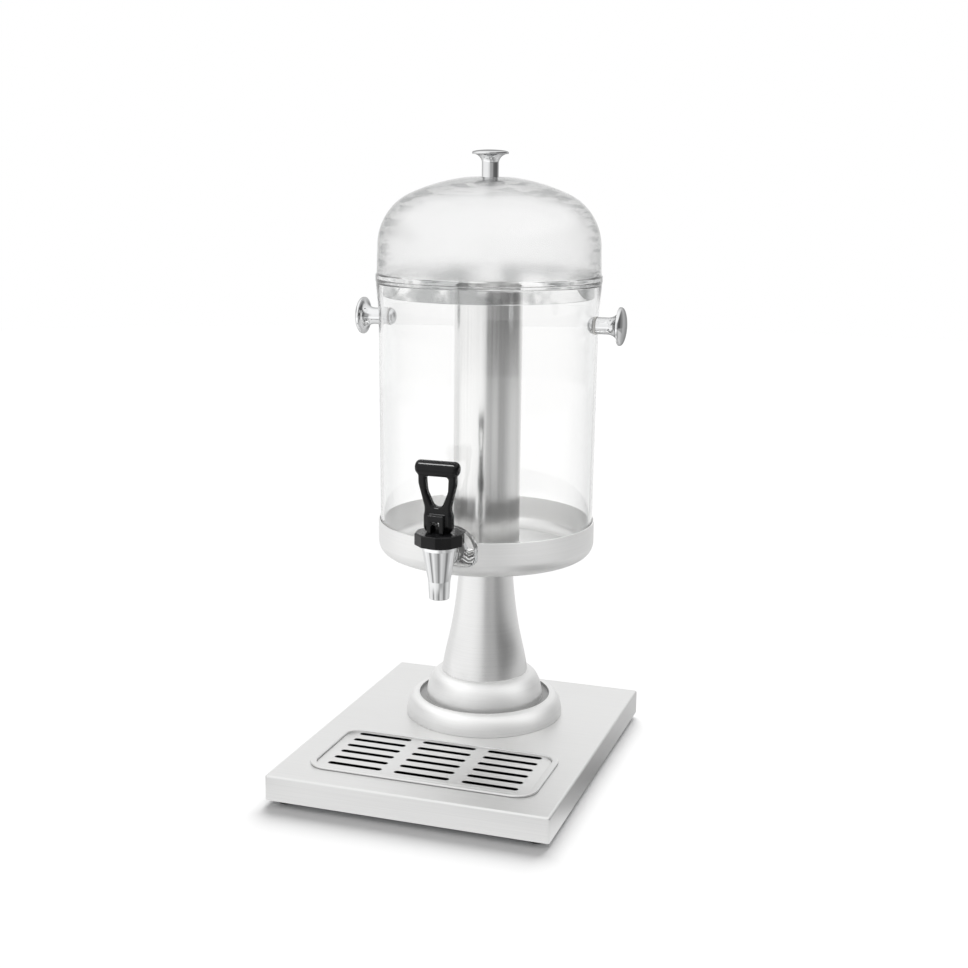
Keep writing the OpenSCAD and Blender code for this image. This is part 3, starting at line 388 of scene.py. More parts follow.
# Clouds: soft patches of a given size in metres, from 0 to 1, for dust, handling and uneven polish
clouds, given, out = group_of("clouds", "Mask", Size=0.05, Low=0.35, High=0.7)
patch = add("TexNoise", {"Vector": given["Vector"], "Detail": 3.0, "Roughness": 0.55,
                         "Scale": math("DIVIDE", 1.0, given["Size"])})[0]
clouds.links.new(remap(patch, given["Low"], given["High"]), out.inputs["Mask"])


def moulded(name, dark, pale, rough, rough_spread, pore, relief, specular):
    """Moulded plastic or rubber: dust clouds pale the colour and dull the gloss, fine pores lift the
    surface."""
    material, spot = blank_material(name)
    dust = use(clouds, spot, Size=0.02)
    pores = use(clouds, spot, Size=pore, Low=0.2, High=0.8)
    bump = add("Bump", {"Strength": relief, "Distance": 0.0002, "Height": pores})[0]
    show(add("BsdfPrincipled", {
        "Base Color": blend(dust, dark, pale), "Specular IOR Level": specular, "Normal": bump,
        "Roughness": math("MULTIPLY_ADD", dust, rough_spread, rough)})[0])
    return material


foot_profile = rounded([(foot_bore, 0.0, 0.5), (8.0, 0.0, 0.9), (9.0, foot_top, 0.5),
                        (screw_bore, foot_top, 0.0), (screw_bore, foot_step, 0.0),
                        (foot_bore, foot_step, 0.0)])
foot_rubber = moulded("foot_rubber", (0.018, 0.018, 0.018), (0.04, 0.039, 0.037), 0.62, 0.2, 0.0006,
                      0.4, 0.35)
for name, (x, y) in foot_places.items():
    foot = turned(name + "_buffer", foot_profile, (x, y, 0.0), steps=64)
    wear(foot, foot_rubber)
    low_pieces.objects.link(foot)
    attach(foot, "stand")
    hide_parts(name)


# Base: one sheet of stainless steel folded down on four sides, brushed from left to right, with soft folds
# and a cut-out for the drip tray. A plate on four posts closes it from below.
base_width, base_depth, base_low, base_top = 267.0, 334.0, 5.0, 29.0
base_fold, base_sheet = 2.5, 1.2
tray_width, tray_length, tray_corner, tray_middle = 218.0, 103.0, 20.0, np.array((0.0, -86.5))
cut_margin = 4.5
stroke_fine, stroke_long, stroke_side = 900.0, 12.0, 15.0


def rectangle(width, depth, corner, middle=(0.0, 0.0), steps=8):
    """Rectangle with quarter-circle corners, from the right front corner anticlockwise."""
    turn = np.arange(4)[:, None] * np.pi / 2 - np.pi / 2 + np.linspace(0.0, np.pi / 2, steps + 1)
    quarter = np.repeat([[1, -1], [1, 1], [-1, 1], [-1, -1]], steps + 1, axis=0)
    arc = np.stack([np.cos(turn), np.sin(turn)], axis=-1).reshape(-1, 2)
    return np.asarray(middle) + quarter * (np.array((width, depth)) / 2 - corner) + corner * arc


def ring_at(outline, height):
    """An outline at one height."""
    return np.column_stack([outline, np.full(len(outline), height)])


def base_ring(inset, height):
    """The base's outline drawn in, with the corner's radius shrinking by as much."""
    corner = max(base_fold - inset, 0.0)
    return ring_at(rectangle(base_width - 2 * inset, base_depth - 2 * inset, corner), height)


def tray_outline(margin):
    """The tray's outline drawn in by a margin."""
    return rectangle(tray_width - 2 * margin, tray_length - 2 * margin, tray_corner - margin, tray_middle)


def tray_ring(margin, height):
    """The tray's outline drawn in by a margin, at one height."""
    return ring_at(tray_outline(margin), height)


fold = np.linspace(0.0, np.pi / 2, 9)
fold_out = np.column_stack([base_fold * (1 - np.cos(fold)), base_top - base_fold * (1 - np.sin(fold))])
inner_fold = base_fold - base_sheet
fold_in = np.column_stack([base_sheet + inner_fold * (1 - np.cos(fold)),
                           base_top - base_fold + inner_fold * np.sin(fold)])[::-1]
base_walk = [(0.35, base_low), (0.1, base_low + 0.1), (0.0, base_low + 0.35), *fold_out]
cut_walk = [(cut_margin - 0.2, base_top), (cut_margin, base_top - 0.2), (cut_margin, base_top - base_sheet)]
inner_walk = [*fold_in, (base_sheet, base_low + 0.3), (base_sheet - 0.3, base_low)]
base_rings = ([base_ring(*stop) for stop in base_walk] + [tray_ring(*stop) for stop in cut_walk]
              + [base_ring(*stop) for stop in inner_walk])
base_shell = skin("base_folded_sheet", np.array(base_rings), along=True, sharp=40)
base_shell.modifiers.new("flat faces", "WEIGHTED_NORMAL").keep_sharp = True

# Brush lines: noise on a coordinate that is already stretched along the stroke, from 0 to 1
brush_lines, given, out = group_of("brush lines", "Lines")
hair = add("TexNoise", {"Vector": given["Vector"], "Scale": 1.0, "Detail": 5.0, "Roughness": 0.62})[0]
brush_lines.links.new(remap(hair, 0.25, 0.75), out.inputs["Lines"])


def brushed(name, shade, rough, rough_spread, relief, stroke, dull=None):
    """Brushed metal: lines along the stroke shade the colour by a few per cent, open the roughness and lift
    the surface, and clouds of handling dull it a little more. Where the given mask of painted shade is set,
    the colour is half as bright: painted shade."""
    material, spot = blank_material(name)
    lines = use(brush_lines, stroke(spot))
    hands = use(clouds, spot)
    tone = np.array(shade)
    colour = blend(lines, 0.97 * tone, np.minimum(1.02 * tone, 1.0))
    if dull:
        colour = blend(dull(spot), colour, 0.5 * tone)
    gloss = math("MULTIPLY_ADD", lines, rough_spread, rough)
    gloss = math("MULTIPLY_ADD", hands, 0.4 * rough_spread, gloss)
    bump = add("Bump", {"Strength": relief, "Distance": 0.0001, "Height": lines})[0]
    show(add("BsdfPrincipled", {
        "Base Color": colour, "Metallic": 1.0, "Roughness": gloss, "Normal": bump})[0])
    return material


def stretched(*values):
    """Coordinate of three values."""
    return add("CombineXYZ", dict(enumerate(values)))[0]


def straight_stroke(spot):
    """Strokes along X on the top, the front and the back; on the folded sides they run down."""
    way = split(spot)
    side = math("GREATER_THAN", math("ABSOLUTE", way["X"]), (base_width / 2 - 1.0) * MM)
    rise = math("MULTIPLY_ADD", side, stroke_side - stroke_fine, stroke_fine)
    return stretched(math("MULTIPLY", way["X"], stroke_long),
                     math("MULTIPLY", way["Y"], stroke_fine), math("MULTIPLY", way["Z"], rise))


satin_steel = brushed("satin_steel", (0.81, 0.81, 0.805), 0.33, 0.08, 0.05, straight_stroke)
wear(base_shell, satin_steel)
low_pieces.objects.link(base_shell)
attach(base_shell, "stand")
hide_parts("base_shell")


def speckled(name, shade, rough, spangle):
    """Plain plated or rolled metal: spangles of one size vary its colour and its gloss."""
    material, spot = blank_material(name)
    grains = use(clouds, spot, Size=spangle, Low=0.3, High=0.7)
    tone = np.array(shade)
    show(add("BsdfPrincipled", {
        "Base Color": blend(grains, 0.9 * tone, np.minimum(1.05 * tone, 1.0)), "Metallic": 1.0,
        "Roughness": math("MULTIPLY_ADD", grains, 0.1, rough)})[0])
    return material


def repaint(material, *names):
    """Gives CAD parts that stay as they are a better material."""
    for name in names:
        parts[name].material_slots[0].material = material


zinc_steel = speckled("zinc_steel", (0.66, 0.67, 0.68), 0.32, 0.004)
repaint(zinc_steel, "base_bottom_plate", "base_standoffs", "foot_screws")
low_pieces.objects.link(parts["base_bottom_plate"])


# Drip tray: a shallow stainless pan that drops into the cut-out and hangs by its rounded raised rim.
# Its inner ledge carries the grate, and the pan below is in shade.
pan_low, pan_floor, pan_ledge, pan_hang, pan_rim = 15.0, 16.0, 27.5, 29.3, 31.1
pan_walk = rounded([(16.0, pan_low, 0.0), (9.0, pan_low, 2.0), (9.0, pan_ledge - 1.0, 0.3),
                    (5.0, pan_ledge - 1.0, 0.5), (5.0, pan_hang, 0.2), (0.0, pan_hang, 0.3),
                    (0.0, pan_rim, 0.9), (6.0, pan_rim, 0.9), (6.0, pan_ledge, 0.4), (10.0, pan_ledge, 0.5),
                    (10.0, pan_floor, 1.5), (16.0, pan_floor, 0.0)], steps=5, closed=False)
drip_pan = skin("drip_tray_pan", np.array([tray_ring(*stop) for stop in pan_walk]), caps=True, sharp=40)
wear(drip_pan, satin_steel)
low_pieces.objects.link(drip_pan)
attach(drip_pan, "drip_tray")
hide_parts("drip_tray")


# Grate: a stainless plate with three columns of six drain slots punched through it, laid loose on the ledge.
# The punched edges are eased a little.
grate_margin, grate_low, grate_top, grate_ease = 6.4, 27.8, 29.3, 0.35
slot_length, slot_width, slot_columns, slot_rows, slot_shift = 52.0, 5.0, 65.0, 14.9, 3.0


def pierced(name, loops, walls):
    """Plate with holes: each loop of points is carried down its wall heights, and both faces are filled
    between the loops by a constrained triangulation that leaves the holes out."""
    points, faces, rims, start = [], [], ([], []), 0
    for loop in loops:
        rings = np.array([ring_at(loop(ease), height) for ease, height in walls])
        index, quads = quads_of(*rings.shape[:2], start=start)
        rims[0].append(index[0])
        rims[1].append(index[-1])
        faces += quads
        points.append(rings.reshape(-1, 3))
        start += index.size
    points = np.concatenate(points)
    for rim in rims:
        numbers = np.concatenate(rim)
        sizes = [len(loop) for loop in rim]
        first = np.repeat(np.cumsum([0, *sizes[:-1]]), sizes)
        here = np.arange(len(numbers))
        after = first + (here - first + 1) % np.repeat(sizes, sizes)
        flat = [Vector(spot) for spot in points[numbers][:, :2]]
        filled = delaunay_2d_cdt(flat, np.column_stack([here, after]).tolist(), [], 3, 1e-6)[2]
        faces += [numbers[list(face)].tolist() for face in filled]
    return piece_of(name, points, faces, 40)


def grate_edge(ease):
    """The grate's outline, drawn in by the ease of its edge."""
    return tray_outline(grate_margin + ease)


def slot_edge(column, row):
    """Outline of one slot with half-round ends, for any ease of its edge."""
    middle = tray_middle + (column * slot_columns, row * slot_rows + slot_shift)

    def edge(ease):
        width = slot_width + 2 * ease
        return rectangle(slot_length + 2 * ease, width, width / 2 - 1e-4, middle, steps=6)
    return edge


ease_turn = np.linspace(0.0, np.pi / 2, 4)
ease_walk = [(grate_ease * (1 - np.sin(t)), grate_top - grate_ease * (1 - np.cos(t))) for t in ease_turn]
ease_walk += [(0.0, grate_low)]
grate_loops = [grate_edge] + [slot_edge(column, row) for column in (-1, 0, 1) for row in np.arange(-2.5, 3.0)]
grate = pierced("drip_grate_plate", grate_loops, ease_walk)
wear(grate, satin_steel)
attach(grate, "drip_grate")
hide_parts("drip_grate")


# Pedestal: three spun stainless shells stacked on the base, a foot ring, a collar and a waisted column,
# clamped by one rod from the base up into the dish. The spinning leaves fine lines round the axis.
recess_reach, recess_low, bell_sheet, stroke_round = 64.9, 45.5, 1.6, 8.0


def bow(x, y, wide, high, start, end, steps=24):
    """Points of an ellipse's arc as corners without a radius; angles in degrees."""
    turn = np.radians(np.linspace(start, end, steps + 1))
    return np.column_stack([x + wide * np.cos(turn), y + high * np.sin(turn), 0.0 * turn])


def spun_stroke(lean):
    """Strokes round the tank's axis: the coordinate runs fast along the profile and slowly round it."""
    def stroke(spot):
        apart, reach = from_axis(spot)
        way = split(apart)
        walk = math("MULTIPLY_ADD", reach, lean, way["Z"])
        level = [math("MULTIPLY", way[side], stroke_round) for side in ("X", "Y")]
        return stretched(*level, math("MULTIPLY", walk, stroke_fine))
    return stroke


def painted_recess_shade(spot):
    """Mask of painted shade in the ring's recess round the collar: all within its wall."""
    return math("LESS_THAN", from_axis(spot)[1], (recess_reach + 0.3) * MM)


bell_finish = ((0.86, 0.86, 0.855), 0.5, 0.05, 0.02, spun_stroke(-1.0))
bell_lamps = (bell_pieces, bell_right_pieces)
spun_steel = brushed("spun_steel", (0.82, 0.82, 0.815), 0.27, 0.05, 0.02, spun_stroke(-1.0))
bell_steel = brushed("bell_steel", *bell_finish)
# The ring's steel takes painted shade, half as bright, in its recess round the collar.
ring_steel_painted_shade = brushed("ring_steel_painted_shade", *bell_finish, dull=painted_recess_shade)
ring_profile = rounded(
    [(78.0, 29.05, 0.3)], bow(66.5, base_top, 11.5, 20.0, 3, 86),
    [(66.0, 49.0, 0.5), (recess_reach, 48.9, 0.6), (recess_reach, recess_low, 0.6), (29.0, recess_low, 0.2),
     (29.0, recess_low - bell_sheet, 0.2)], bow(66.5, base_top, 9.9, 14.9, 90, 0))
collar_profile = rounded(
    bow(42.8, recess_low, 15.2, 28.0, 0, 90), [(36.4, 73.5, 0.2), (36.4, 71.9, 0.2)],
    bow(42.8, recess_low, 13.6, 26.4, 90, 0))
part = np.linspace(0.0, 1.0, 41)[:, None]
column_hold = np.array(((42.8, 73.5), (37.8, 108.5), (30.5, 113.5), (25.5, 194.0)))
column_out = ((1 - part) ** 3 * column_hold[0] + 3 * (1 - part) ** 2 * part * column_hold[1]
              + 3 * (1 - part) * part ** 2 * column_hold[2] + part ** 3 * column_hold[3])
column_profile = np.concatenate([column_out, (column_out - (bell_sheet, 0.0))[::-1]])
for name, node_name, profile, finish, lights in (
        ("pedestal_ring_shell", "pedestal_foot_ring", ring_profile, ring_steel_painted_shade, bell_lamps),
        ("pedestal_collar_shell", "pedestal_collar", collar_profile, bell_steel, bell_lamps),
        ("pedestal_column_shell", "pedestal_column", column_profile, spun_steel, ())):
    shell = turned(name, profile, axis)
    wear(shell, finish)
    for lit in lights:
        lit.objects.link(shell)
    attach(shell, "stand")
    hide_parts(node_name)
repaint(zinc_steel, "tie_rod", "tie_rod_washer", "tie_rod_nut", "dish_hub")


# Dish: a drawn stainless bowl with a rolled-smooth rim, welded to the hub that the rod pulls on.
# It holds the tank's foot, and its wall is notched in front for the tap's boss.
dish_rim, dish_low, dish_high, dish_sheet, dish_fillet = 105.7, 194.0, 229.0, 1.2, 14.0
notch_half, notch_low, notch_top, notch_corner, notch_depths = 26.1, 206.4, 240.0, 9.6, (-30.0, -60.0)


def upright_at(outline, depth):
    """A front outline at one depth."""
    return np.column_stack([outline[:, 0], np.full(len(outline), depth), outline[:, 1]])


def combine(piece, tool, operation):
    """Exact Boolean of a tool on a piece, applied to its mesh; the tool is removed."""
    step = piece.modifiers.new(operation, "BOOLEAN")
    step.operation = operation
    step.solver = "EXACT"
    step.object = tool
    bpy.context.view_layer.update()
    made = bpy.data.meshes.new_from_object(piece.evaluated_get(bpy.context.evaluated_depsgraph_get()))
    piece.modifiers.clear()
    name, piece.data.name = piece.data.name, "used"
    piece.data = made
    made.name = name
    bpy.data.objects.remove(tool)
    close(made, 32)


dish_flat, dish_inner = dish_rim - dish_fillet, dish_fillet - dish_sheet
dish_profile = rounded(
    [(0.0, dish_low, 0.0)], bow(dish_flat, dish_low + dish_fillet, dish_fillet, dish_fillet, -90, 0, 16),
    [(dish_rim, dish_high, 0.55), (dish_rim - dish_sheet, dish_high, 0.55)],
    bow(dish_flat, dish_low + dish_fillet, dish_inner, dish_inner, 0, -90, 16),
    [(0.0, dish_low + dish_sheet, 0.0)], closed=False)
dish = turned("dish_bowl", dish_profile, axis, steps=192)
notch = rounded([(-notch_half, notch_low, notch_corner), (notch_half, notch_low, notch_corner),
                 (notch_half, notch_top, 0.0), (-notch_half, notch_top, 0.0)])
notch_tool = skin("notch", np.stack([upright_at(notch, depth) for depth in notch_depths]), caps=True)
combine(dish, notch_tool, "DIFFERENCE")
dish.modifiers.new("flat faces", "WEIGHTED_NORMAL").keep_sharp = True
dish_steel = brushed("dish_steel", (0.86, 0.86, 0.855), 0.42, 0.08, 0.03, spun_stroke(1.0))
wear(dish, dish_steel)
for lit in (dish_pieces, rear_pieces, inner_pieces):
    lit.objects.link(dish)
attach(dish, "stand")
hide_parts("dish")


# Tank: a clear injection-moulded jar, drawn slightly wider towards its flared mouth, with a thickened arch
# and a round spigot for the tap in front and a low ring on its floor that locates the ice tube.
tank_foot, tank_top, tank_mouth = 103.5, 105.2, 107.6
tank_low, tank_floor, tank_bend, tank_rim = 195.5, 199.0, 434.0, 459.0
tank_wall, tank_fillet, tank_flare = 3.0, 15.0, 120.0
ring_in, ring_out, ring_top = 33.3, 36.0, 202.5
shank_height, knob_height = 221.0, 422.0
boss_half, boss_low, boss_high, boss_front, boss_corner = 25.5, 207.0, 245.0, -51.5, 9.0
plastic_index, mirror_veil, shadow_veil, flow_stretch = 1.49, 0.985, 0.94, 7.0
FORWARD = np.array(((1.0, 0.0, 0.0), (0.0, 0.0, 1.0), (0.0, -1.0, 0.0)))
RIGHTWARD = np.array(((0.0, 1.0, 0.0), (0.0, 0.0, 1.0), (1.0, 0.0, 0.0)))

bend_middle, bend_height, mouth_in = tank_foot - tank_fillet, tank_low + tank_fillet, tank_mouth - tank_wall
outside = rounded(
    [(0.0, tank_low, 0.0)], bow(bend_middle, bend_height, tank_fillet, tank_fillet, -90, 0, 16),
    [(tank_top, tank_bend, tank_flare), (tank_mouth, tank_rim, 1.2), (tank_mouth - 2.0, tank_rim, 0.0),
     (0.0, tank_rim, 0.0)], closed=False)
inside = rounded(
    [(0.0, tank_floor, 0.0), (ring_in, tank_floor, 0.6), (ring_in, ring_top, 0.9), (ring_out, ring_top, 0.9),
     (ring_out, tank_floor, 0.8)],
    bow(bend_middle, bend_height, tank_fillet - tank_wall, bend_height - tank_floor, -90, 0, 16),
    [(tank_top - tank_wall, tank_bend, tank_flare), (mouth_in, tank_rim - 0.8, 0.0),
     (mouth_in + 0.8, tank_rim, 0.0), (mouth_in + 0.8, tank_rim + 5.0, 0.0),
     (0.0, tank_rim + 5.0, 0.0)], closed=False)


def arch(inset):
    """Front view of the boss: a half-round arch on a straight foot, drawn in by an inset."""
    half, low = boss_half - inset, boss_low + inset
    crown = bow(0.0, boss_high - boss_half, half, half, 0, 180, 40)[:, :2]
    foot = rounded([(-half, 220.0, 0.0), (-half, low, boss_corner), (half, low, boss_corner),
                    (half, 220.0, 0.0)], closed=False)
    return np.concatenate([crown[1:-1], foot])


def bore(radius, start, end):
    """Half section of a plain round hole."""
    return np.array(((0.0, start), (radius, start), (radius, end), (0.0, end)))


boss_walk = [(0.0, -40.0), (0.0, boss_front + 1.2), (0.35, boss_front + 0.35), (1.2, boss_front)]
boss = skin("boss", np.array([upright_at(arch(inset), depth) for inset, depth in boss_walk]), caps=True)
spigot = rounded([(0.0, 105.0, 0.0), (12.0, 105.0, 0.0), (12.0, 114.5, 0.8), (0.0, 114.5, 0.0)], closed=False)
shank_middle, knob_middle = (0.0, axis[1], shank_height), (0.0, axis[1], knob_height)
tank = turned("tank_jar", outside, axis, steps=216)
combine(tank, boss, "UNION")
combine(tank, turned("spigot", spigot, shank_middle, FORWARD, 96), "UNION")
combine(tank, turned("hollow", inside, axis, steps=216), "DIFFERENCE")
combine(tank, turned("hole", bore(8.3, 90.0, 120.0), shank_middle, FORWARD, 96), "DIFFERENCE")
for side in (-1, 1):
    combine(tank, turned("hole", bore(2.8, 97.0, 110.0), knob_middle, RIGHTWARD * side, 48), "DIFFERENCE")


def clear(name, tint, edge, edge_start, haze, frost=0.0, painted_streak_reach=0.0, rims=()):
    """Clear plastic: light passes with a faint tint; painted shade greys its colour and reflection where the
    wall is seen edge on, under light smears of handling. A frosted wall blurs what is behind it, apart from
    its edge.
    Level streaks let the painted grey start further in. Below the heights given as rims the wall is clear
    again and greyer in streaks, also painted shade. Shadow rays go straight through, and so do mirrored rays
    that come from outside."""
    material, spot = blank_material(name)
    smears = use(clouds, spot, Size=0.06, Low=0.45, High=0.75)
    streaks = use(clouds, spot, Size=0.04, Low=0.43, High=0.58)
    level = vector("MULTIPLY", spot, (1.0, 1.0, flow_stretch))
    lines = use(clouds, level, Size=0.045, Low=0.49, High=0.57)
    tree = spot.id_data
    facing = source(tree, "LayerWeight")["Facing"]
    # Painted shade: colour and reflection grey where the wall is seen edge on, pushed further in by level
    # streaks.
    painted_edge_shade = remap(math("MULTIPLY_ADD", lines, painted_streak_reach, facing), edge_start, 1.0)
    colour = blend(painted_edge_shade, tint, edge)
    wall = remap(facing, 0.3, 0.5, 1.0, 0.0)
    # Painted shade: below each rim's height the colour greys in streaks.
    for top, grey in rims:
        above = math("GREATER_THAN", split(spot)["Z"], top)
        colour = blend(above, blend(streaks, grey, tint), colour)
        wall = math("MULTIPLY", wall, above)
    gloss = math("MULTIPLY_ADD", wall, frost, math("MULTIPLY", smears, haze))
    glass = add("BsdfPrincipled", {
        "Base Color": colour, "IOR": plastic_index, "Transmission Weight": 1.0, "Roughness": gloss,
        "Specular Tint": blend(painted_edge_shade, 1.0, edge)})[0]
    ray = source(tree, "LightPath")
    inside = source(tree, "NewGeometry")["Backfacing"]
    passed = math("MINIMUM", ray["Transparent Depth"], 1.0)
    entering = math("MAXIMUM", math("SUBTRACT", 1.0, inside), passed)
    mirrored = math("MULTIPLY", ray["Is Reflection Ray"], entering)
    veil = blend(ray["Is Shadow Ray"], mirror_veil, shadow_veil)
    through = add("BsdfTransparent", {"Color": veil})[0]
    straight = math("MAXIMUM", ray["Is Shadow Ray"], mirrored)
    show(add("MixShader", {0: straight, 1: glass, 2: through})[0])
    return material


clear_plastic = clear("clear_plastic", (0.992, 0.992, 0.99), (0.84, 0.85, 0.85), 0.15, 0.02)
wear(tank, clear_plastic)
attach(tank, "tank")
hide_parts("tank")


# Side knobs: turned brass knobs with bright chrome plating, one on each side of the tank as lifting handles.
# A screw from inside holds each one over a silicone gasket.
knob_stem, knob_bore, knob_depth, side_start = 7.9, 2.55, 9.3, 106.612


def knob_outline(stem, disc, flare, dome, foot=None):
    """Half section of a turned knob: a stem that flares by a quarter ellipse into a disc with a domed end,
    and a blind screw hole in its foot."""
    low = [(0.0, knob_depth, 0.0), (knob_bore, knob_depth, 0.0), (knob_bore, 0.0, 0.3)]
    if foot:
        low += [(foot[0], 0.0, 0.4), (foot[0], foot[1], 0.8), (knob_stem, foot[1], 0.8)]
    else:
        low += [(knob_stem, 0.0, 0.5)]
    sweep_up = bow(disc, stem, knob_stem - disc, flare, 0, 82, 24)
    rim = [(disc, stem + flare - 0.1, 0.5), (disc, stem + flare + 1.6, 0.7)]
    cap = bow(0.0, stem + flare + 1.5, disc, dome, 8, 90, 24)
    return rounded(low, sweep_up, rim, cap, closed=False)


def plated(name, shade, rough, rough_spread, waviness, edge):
    """Bright plating: a mirror whose reflection greys towards its glancing edge as painted shade, with soft
    waviness left by polishing and faint clouds of handling."""
    material, spot = blank_material(name)
    hands = use(clouds, spot, Size=0.014)
    waves = use(clouds, spot, Size=0.009, Low=0.1, High=0.9)
    bump = add("Bump", {"Strength": waviness, "Distance": 0.0002, "Height": waves})[0]
    show(add("BsdfPrincipled", {
        "Base Color": blend(hands, shade, 0.96 * np.array(shade)), "Metallic": 1.0, "Normal": bump,
        # Painted shade: the edge tint greys the mirror at glancing angles.
        "Specular Tint": (edge, edge, edge, 1.0),
        "Roughness": math("MULTIPLY_ADD", hands, rough_spread, rough)})[0])
    return material


bright_chrome = plated("bright_chrome", (0.82, 0.825, 0.83), 0.03, 0.04, 0.012, 0.3)
side_outline = knob_outline(10.5, 17.9, 11.0, 4.5) + (0.0, side_start)
for name, side in (("left", -1), ("right", 1)):
    knob = turned("side_knob_" + name + "_turned", side_outline, knob_middle, RIGHTWARD * side, 96)
    wear(knob, bright_chrome)
    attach(knob, "tank")
    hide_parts("side_knob_" + name)
white_silicone = moulded("white_silicone", (0.78, 0.77, 0.74), (0.84, 0.83, 0.81), 0.45, 0.15, 0.0006,
                         0.2, 0.4)
repaint(white_silicone, "side_knob_gaskets")
polished_screw = plated("polished_screw", (0.7, 0.71, 0.72), 0.12, 0.08, 0.02, 0.5)
repaint(polished_screw, "side_knob_screws")


# Tap body: a turned and chromed casting, a straight spout under a cone, a rim and a threaded collar.
# Its shank goes through the tank's spigot between two rubber washers and is drawn up by a nut inside.
tap = (0.0, -76.0, 0.0)
spout_low, seat_low, cone_top, rim_top, collar_top = 183.0, 214.0, 229.0, 232.5, 240.5
body_outside = rounded([(0.0, spout_low, 0.0), (9.2, spout_low, 0.7), (10.2, 200.0, 8.0),
                        (15.8, cone_top, 1.0), (15.8, rim_top, 0.8), (14.0, rim_top, 0.2),
                        (14.0, collar_top, 0.5), (0.0, collar_top, 0.0)], steps=8, closed=False)
body_inside = rounded([(0.0, 176.0, 0.0), (7.0, 176.0, 0.0), (7.0, seat_low, 0.2), (10.5, seat_low, 0.4),
                       (10.5, 245.0, 0.0), (0.0, 245.0, 0.0)], closed=False)
shank_outside = rounded([(0.0, 89.98, 0.0), (8.0, 89.98, 0.6), (8.0, 116.0, 0.0), (11.5, 116.0, 0.4),
                         (11.5, 118.0, 0.6), (8.0, 118.0, 0.6), (8.0, 131.0, 0.0), (0.0, 131.0, 0.0)],
                        closed=False)
tap_body = turned("tap_body_casting", body_outside, tap, steps=96)
combine(tap_body, turned("shank", shank_outside, shank_middle, FORWARD, 72), "UNION")
combine(tap_body, turned("bore", body_inside, tap, steps=96), "DIFFERENCE")
combine(tap_body, turned("bore", bore(4.5, 85.0, 134.0), shank_middle, FORWARD, 48), "DIFFERENCE")
cast_chrome = plated("cast_chrome", (0.84, 0.845, 0.85), 0.03, 0.04, 0.02, 0.9)
wear(tap_body, cast_chrome)
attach(tap_body, "tank")
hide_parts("tap_body")
seal_rubber = moulded("seal_rubber", (0.2, 0.2, 0.2), (0.27, 0.27, 0.265), 0.5, 0.15, 0.0005, 0.3, 0.4)
repaint(seal_rubber, "tap_outer_washer", "tap_inner_washer")
repaint(polished_screw, "tap_shank_nut")


# Bonnet: a ten-sided moulded cap of black plastic with chamfered edges, screwed on the tap's collar.
# The valve stem comes up through its middle.
bonnet_reach, bonnet_low, bonnet_high, bonnet_corner = 22.8, 233.7, 245.0, np.radians(-80)


def bonnet_ring(inset, height):
    """Ten-sided outline with eased corners, drawn in by an inset."""
    turn = bonnet_corner + np.arange(10) * np.pi / 5
    reach = bonnet_reach - inset
    corners = np.column_stack([reach * np.cos(turn), reach * np.sin(turn), np.full(10, 0.9)])
    return ring_at(rounded(corners, steps=4) + tap[:2], height)


def bore_ring(radius, height):
    """Circle with one point in line with each point of the bonnet's outline."""
    outline = bonnet_ring(0.0, height)[:, :2] - tap[:2]
    return ring_at(radius * outline / np.linalg.norm(outline, axis=1, keepdims=True) + tap[:2], height)


bonnet_walk = [(0.8, bonnet_low), (0.25, bonnet_low + 0.15), (0.0, bonnet_low + 0.6),
               (0.0, bonnet_high - 1.2), (0.12, bonnet_high - 0.9), (0.95, bonnet_high - 0.12),
               (1.3, bonnet_high)]
bore_walk = [(3.9, bonnet_high), (3.55, bonnet_high - 0.35), (3.55, collar_top), (14.05, collar_top),
             (14.05, bonnet_low + 0.3), (14.35, bonnet_low)]
bonnet = skin("tap_bonnet_cap", np.array([bonnet_ring(*stop) for stop in bonnet_walk]
                                         + [bore_ring(*stop) for stop in bore_walk]), along=True, sharp=20)
bonnet.modifiers.new("flat faces", "WEIGHTED_NORMAL").keep_sharp = True
black_plastic = moulded("black_plastic", (0.004, 0.004, 0.0045), (0.008, 0.008, 0.0085), 0.11, 0.1, 0.0009,
                        0.04, 0.22)
wear(bonnet, black_plastic)
strip_pieces.objects.link(bonnet)
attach(bonnet, "tank")
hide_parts("tap_bonnet")


# Valve: a black stem with a silicone seat cup, pushed down by a wound return spring of round steel wire.
# A steel pin through the handle's foot lifts the stem.
spring_low, spring_high, spring_reach, spring_wire, spring_turns = 221.2, 239.6, 4.7, 0.6, 6
spring_part = np.linspace(0.0, 1.0, spring_turns * 40 + 1)[:, None]
spring_angle = 2 * np.pi * spring_turns * spring_part
wire_turn = np.linspace(0.0, 2 * np.pi, 12, endpoint=False)
wire_reach = spring_reach + spring_wire * np.cos(wire_turn)
wire_height = spring_low + (spring_high - spring_low) * spring_part + spring_wire * np.sin(wire_turn)
wire = np.stack([wire_reach * np.cos(spring_angle), wire_reach * np.sin(spring_angle), wire_height], axis=-1)
spring = skin("tap_spring_wire", wire + tap, caps=True)
wear(spring, polished_screw)
bodies = frame["record"]["behaviour"]["bodies"]
spring_body = next(body for body, names in bodies.items() if "tap_spring" in names)
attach(spring, spring_body)
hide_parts("tap_spring")
repaint(black_plastic, "tap_stem")
repaint(white_silicone, "tap_seat_cup")
repaint(polished_screw, "tap_handle_pin")


# Handle: one glossy black moulding, a forked foot on the bonnet, two arms that open upwards round a window,
# and a round grip bar across the top. It leans forward and tips towards the user.
handle_spot = np.array((0.0, -77.5, 245.3))
grip_height, grip_radius, grip_half, grip_end = 59.3, 6.8, 20.75, 4.8
handle_tilt = np.arctan2(4.0, grip_height)
arm_depth, arm_edge, foot_half, grid_step = 4.5, 2.7, 8.5, 0.45


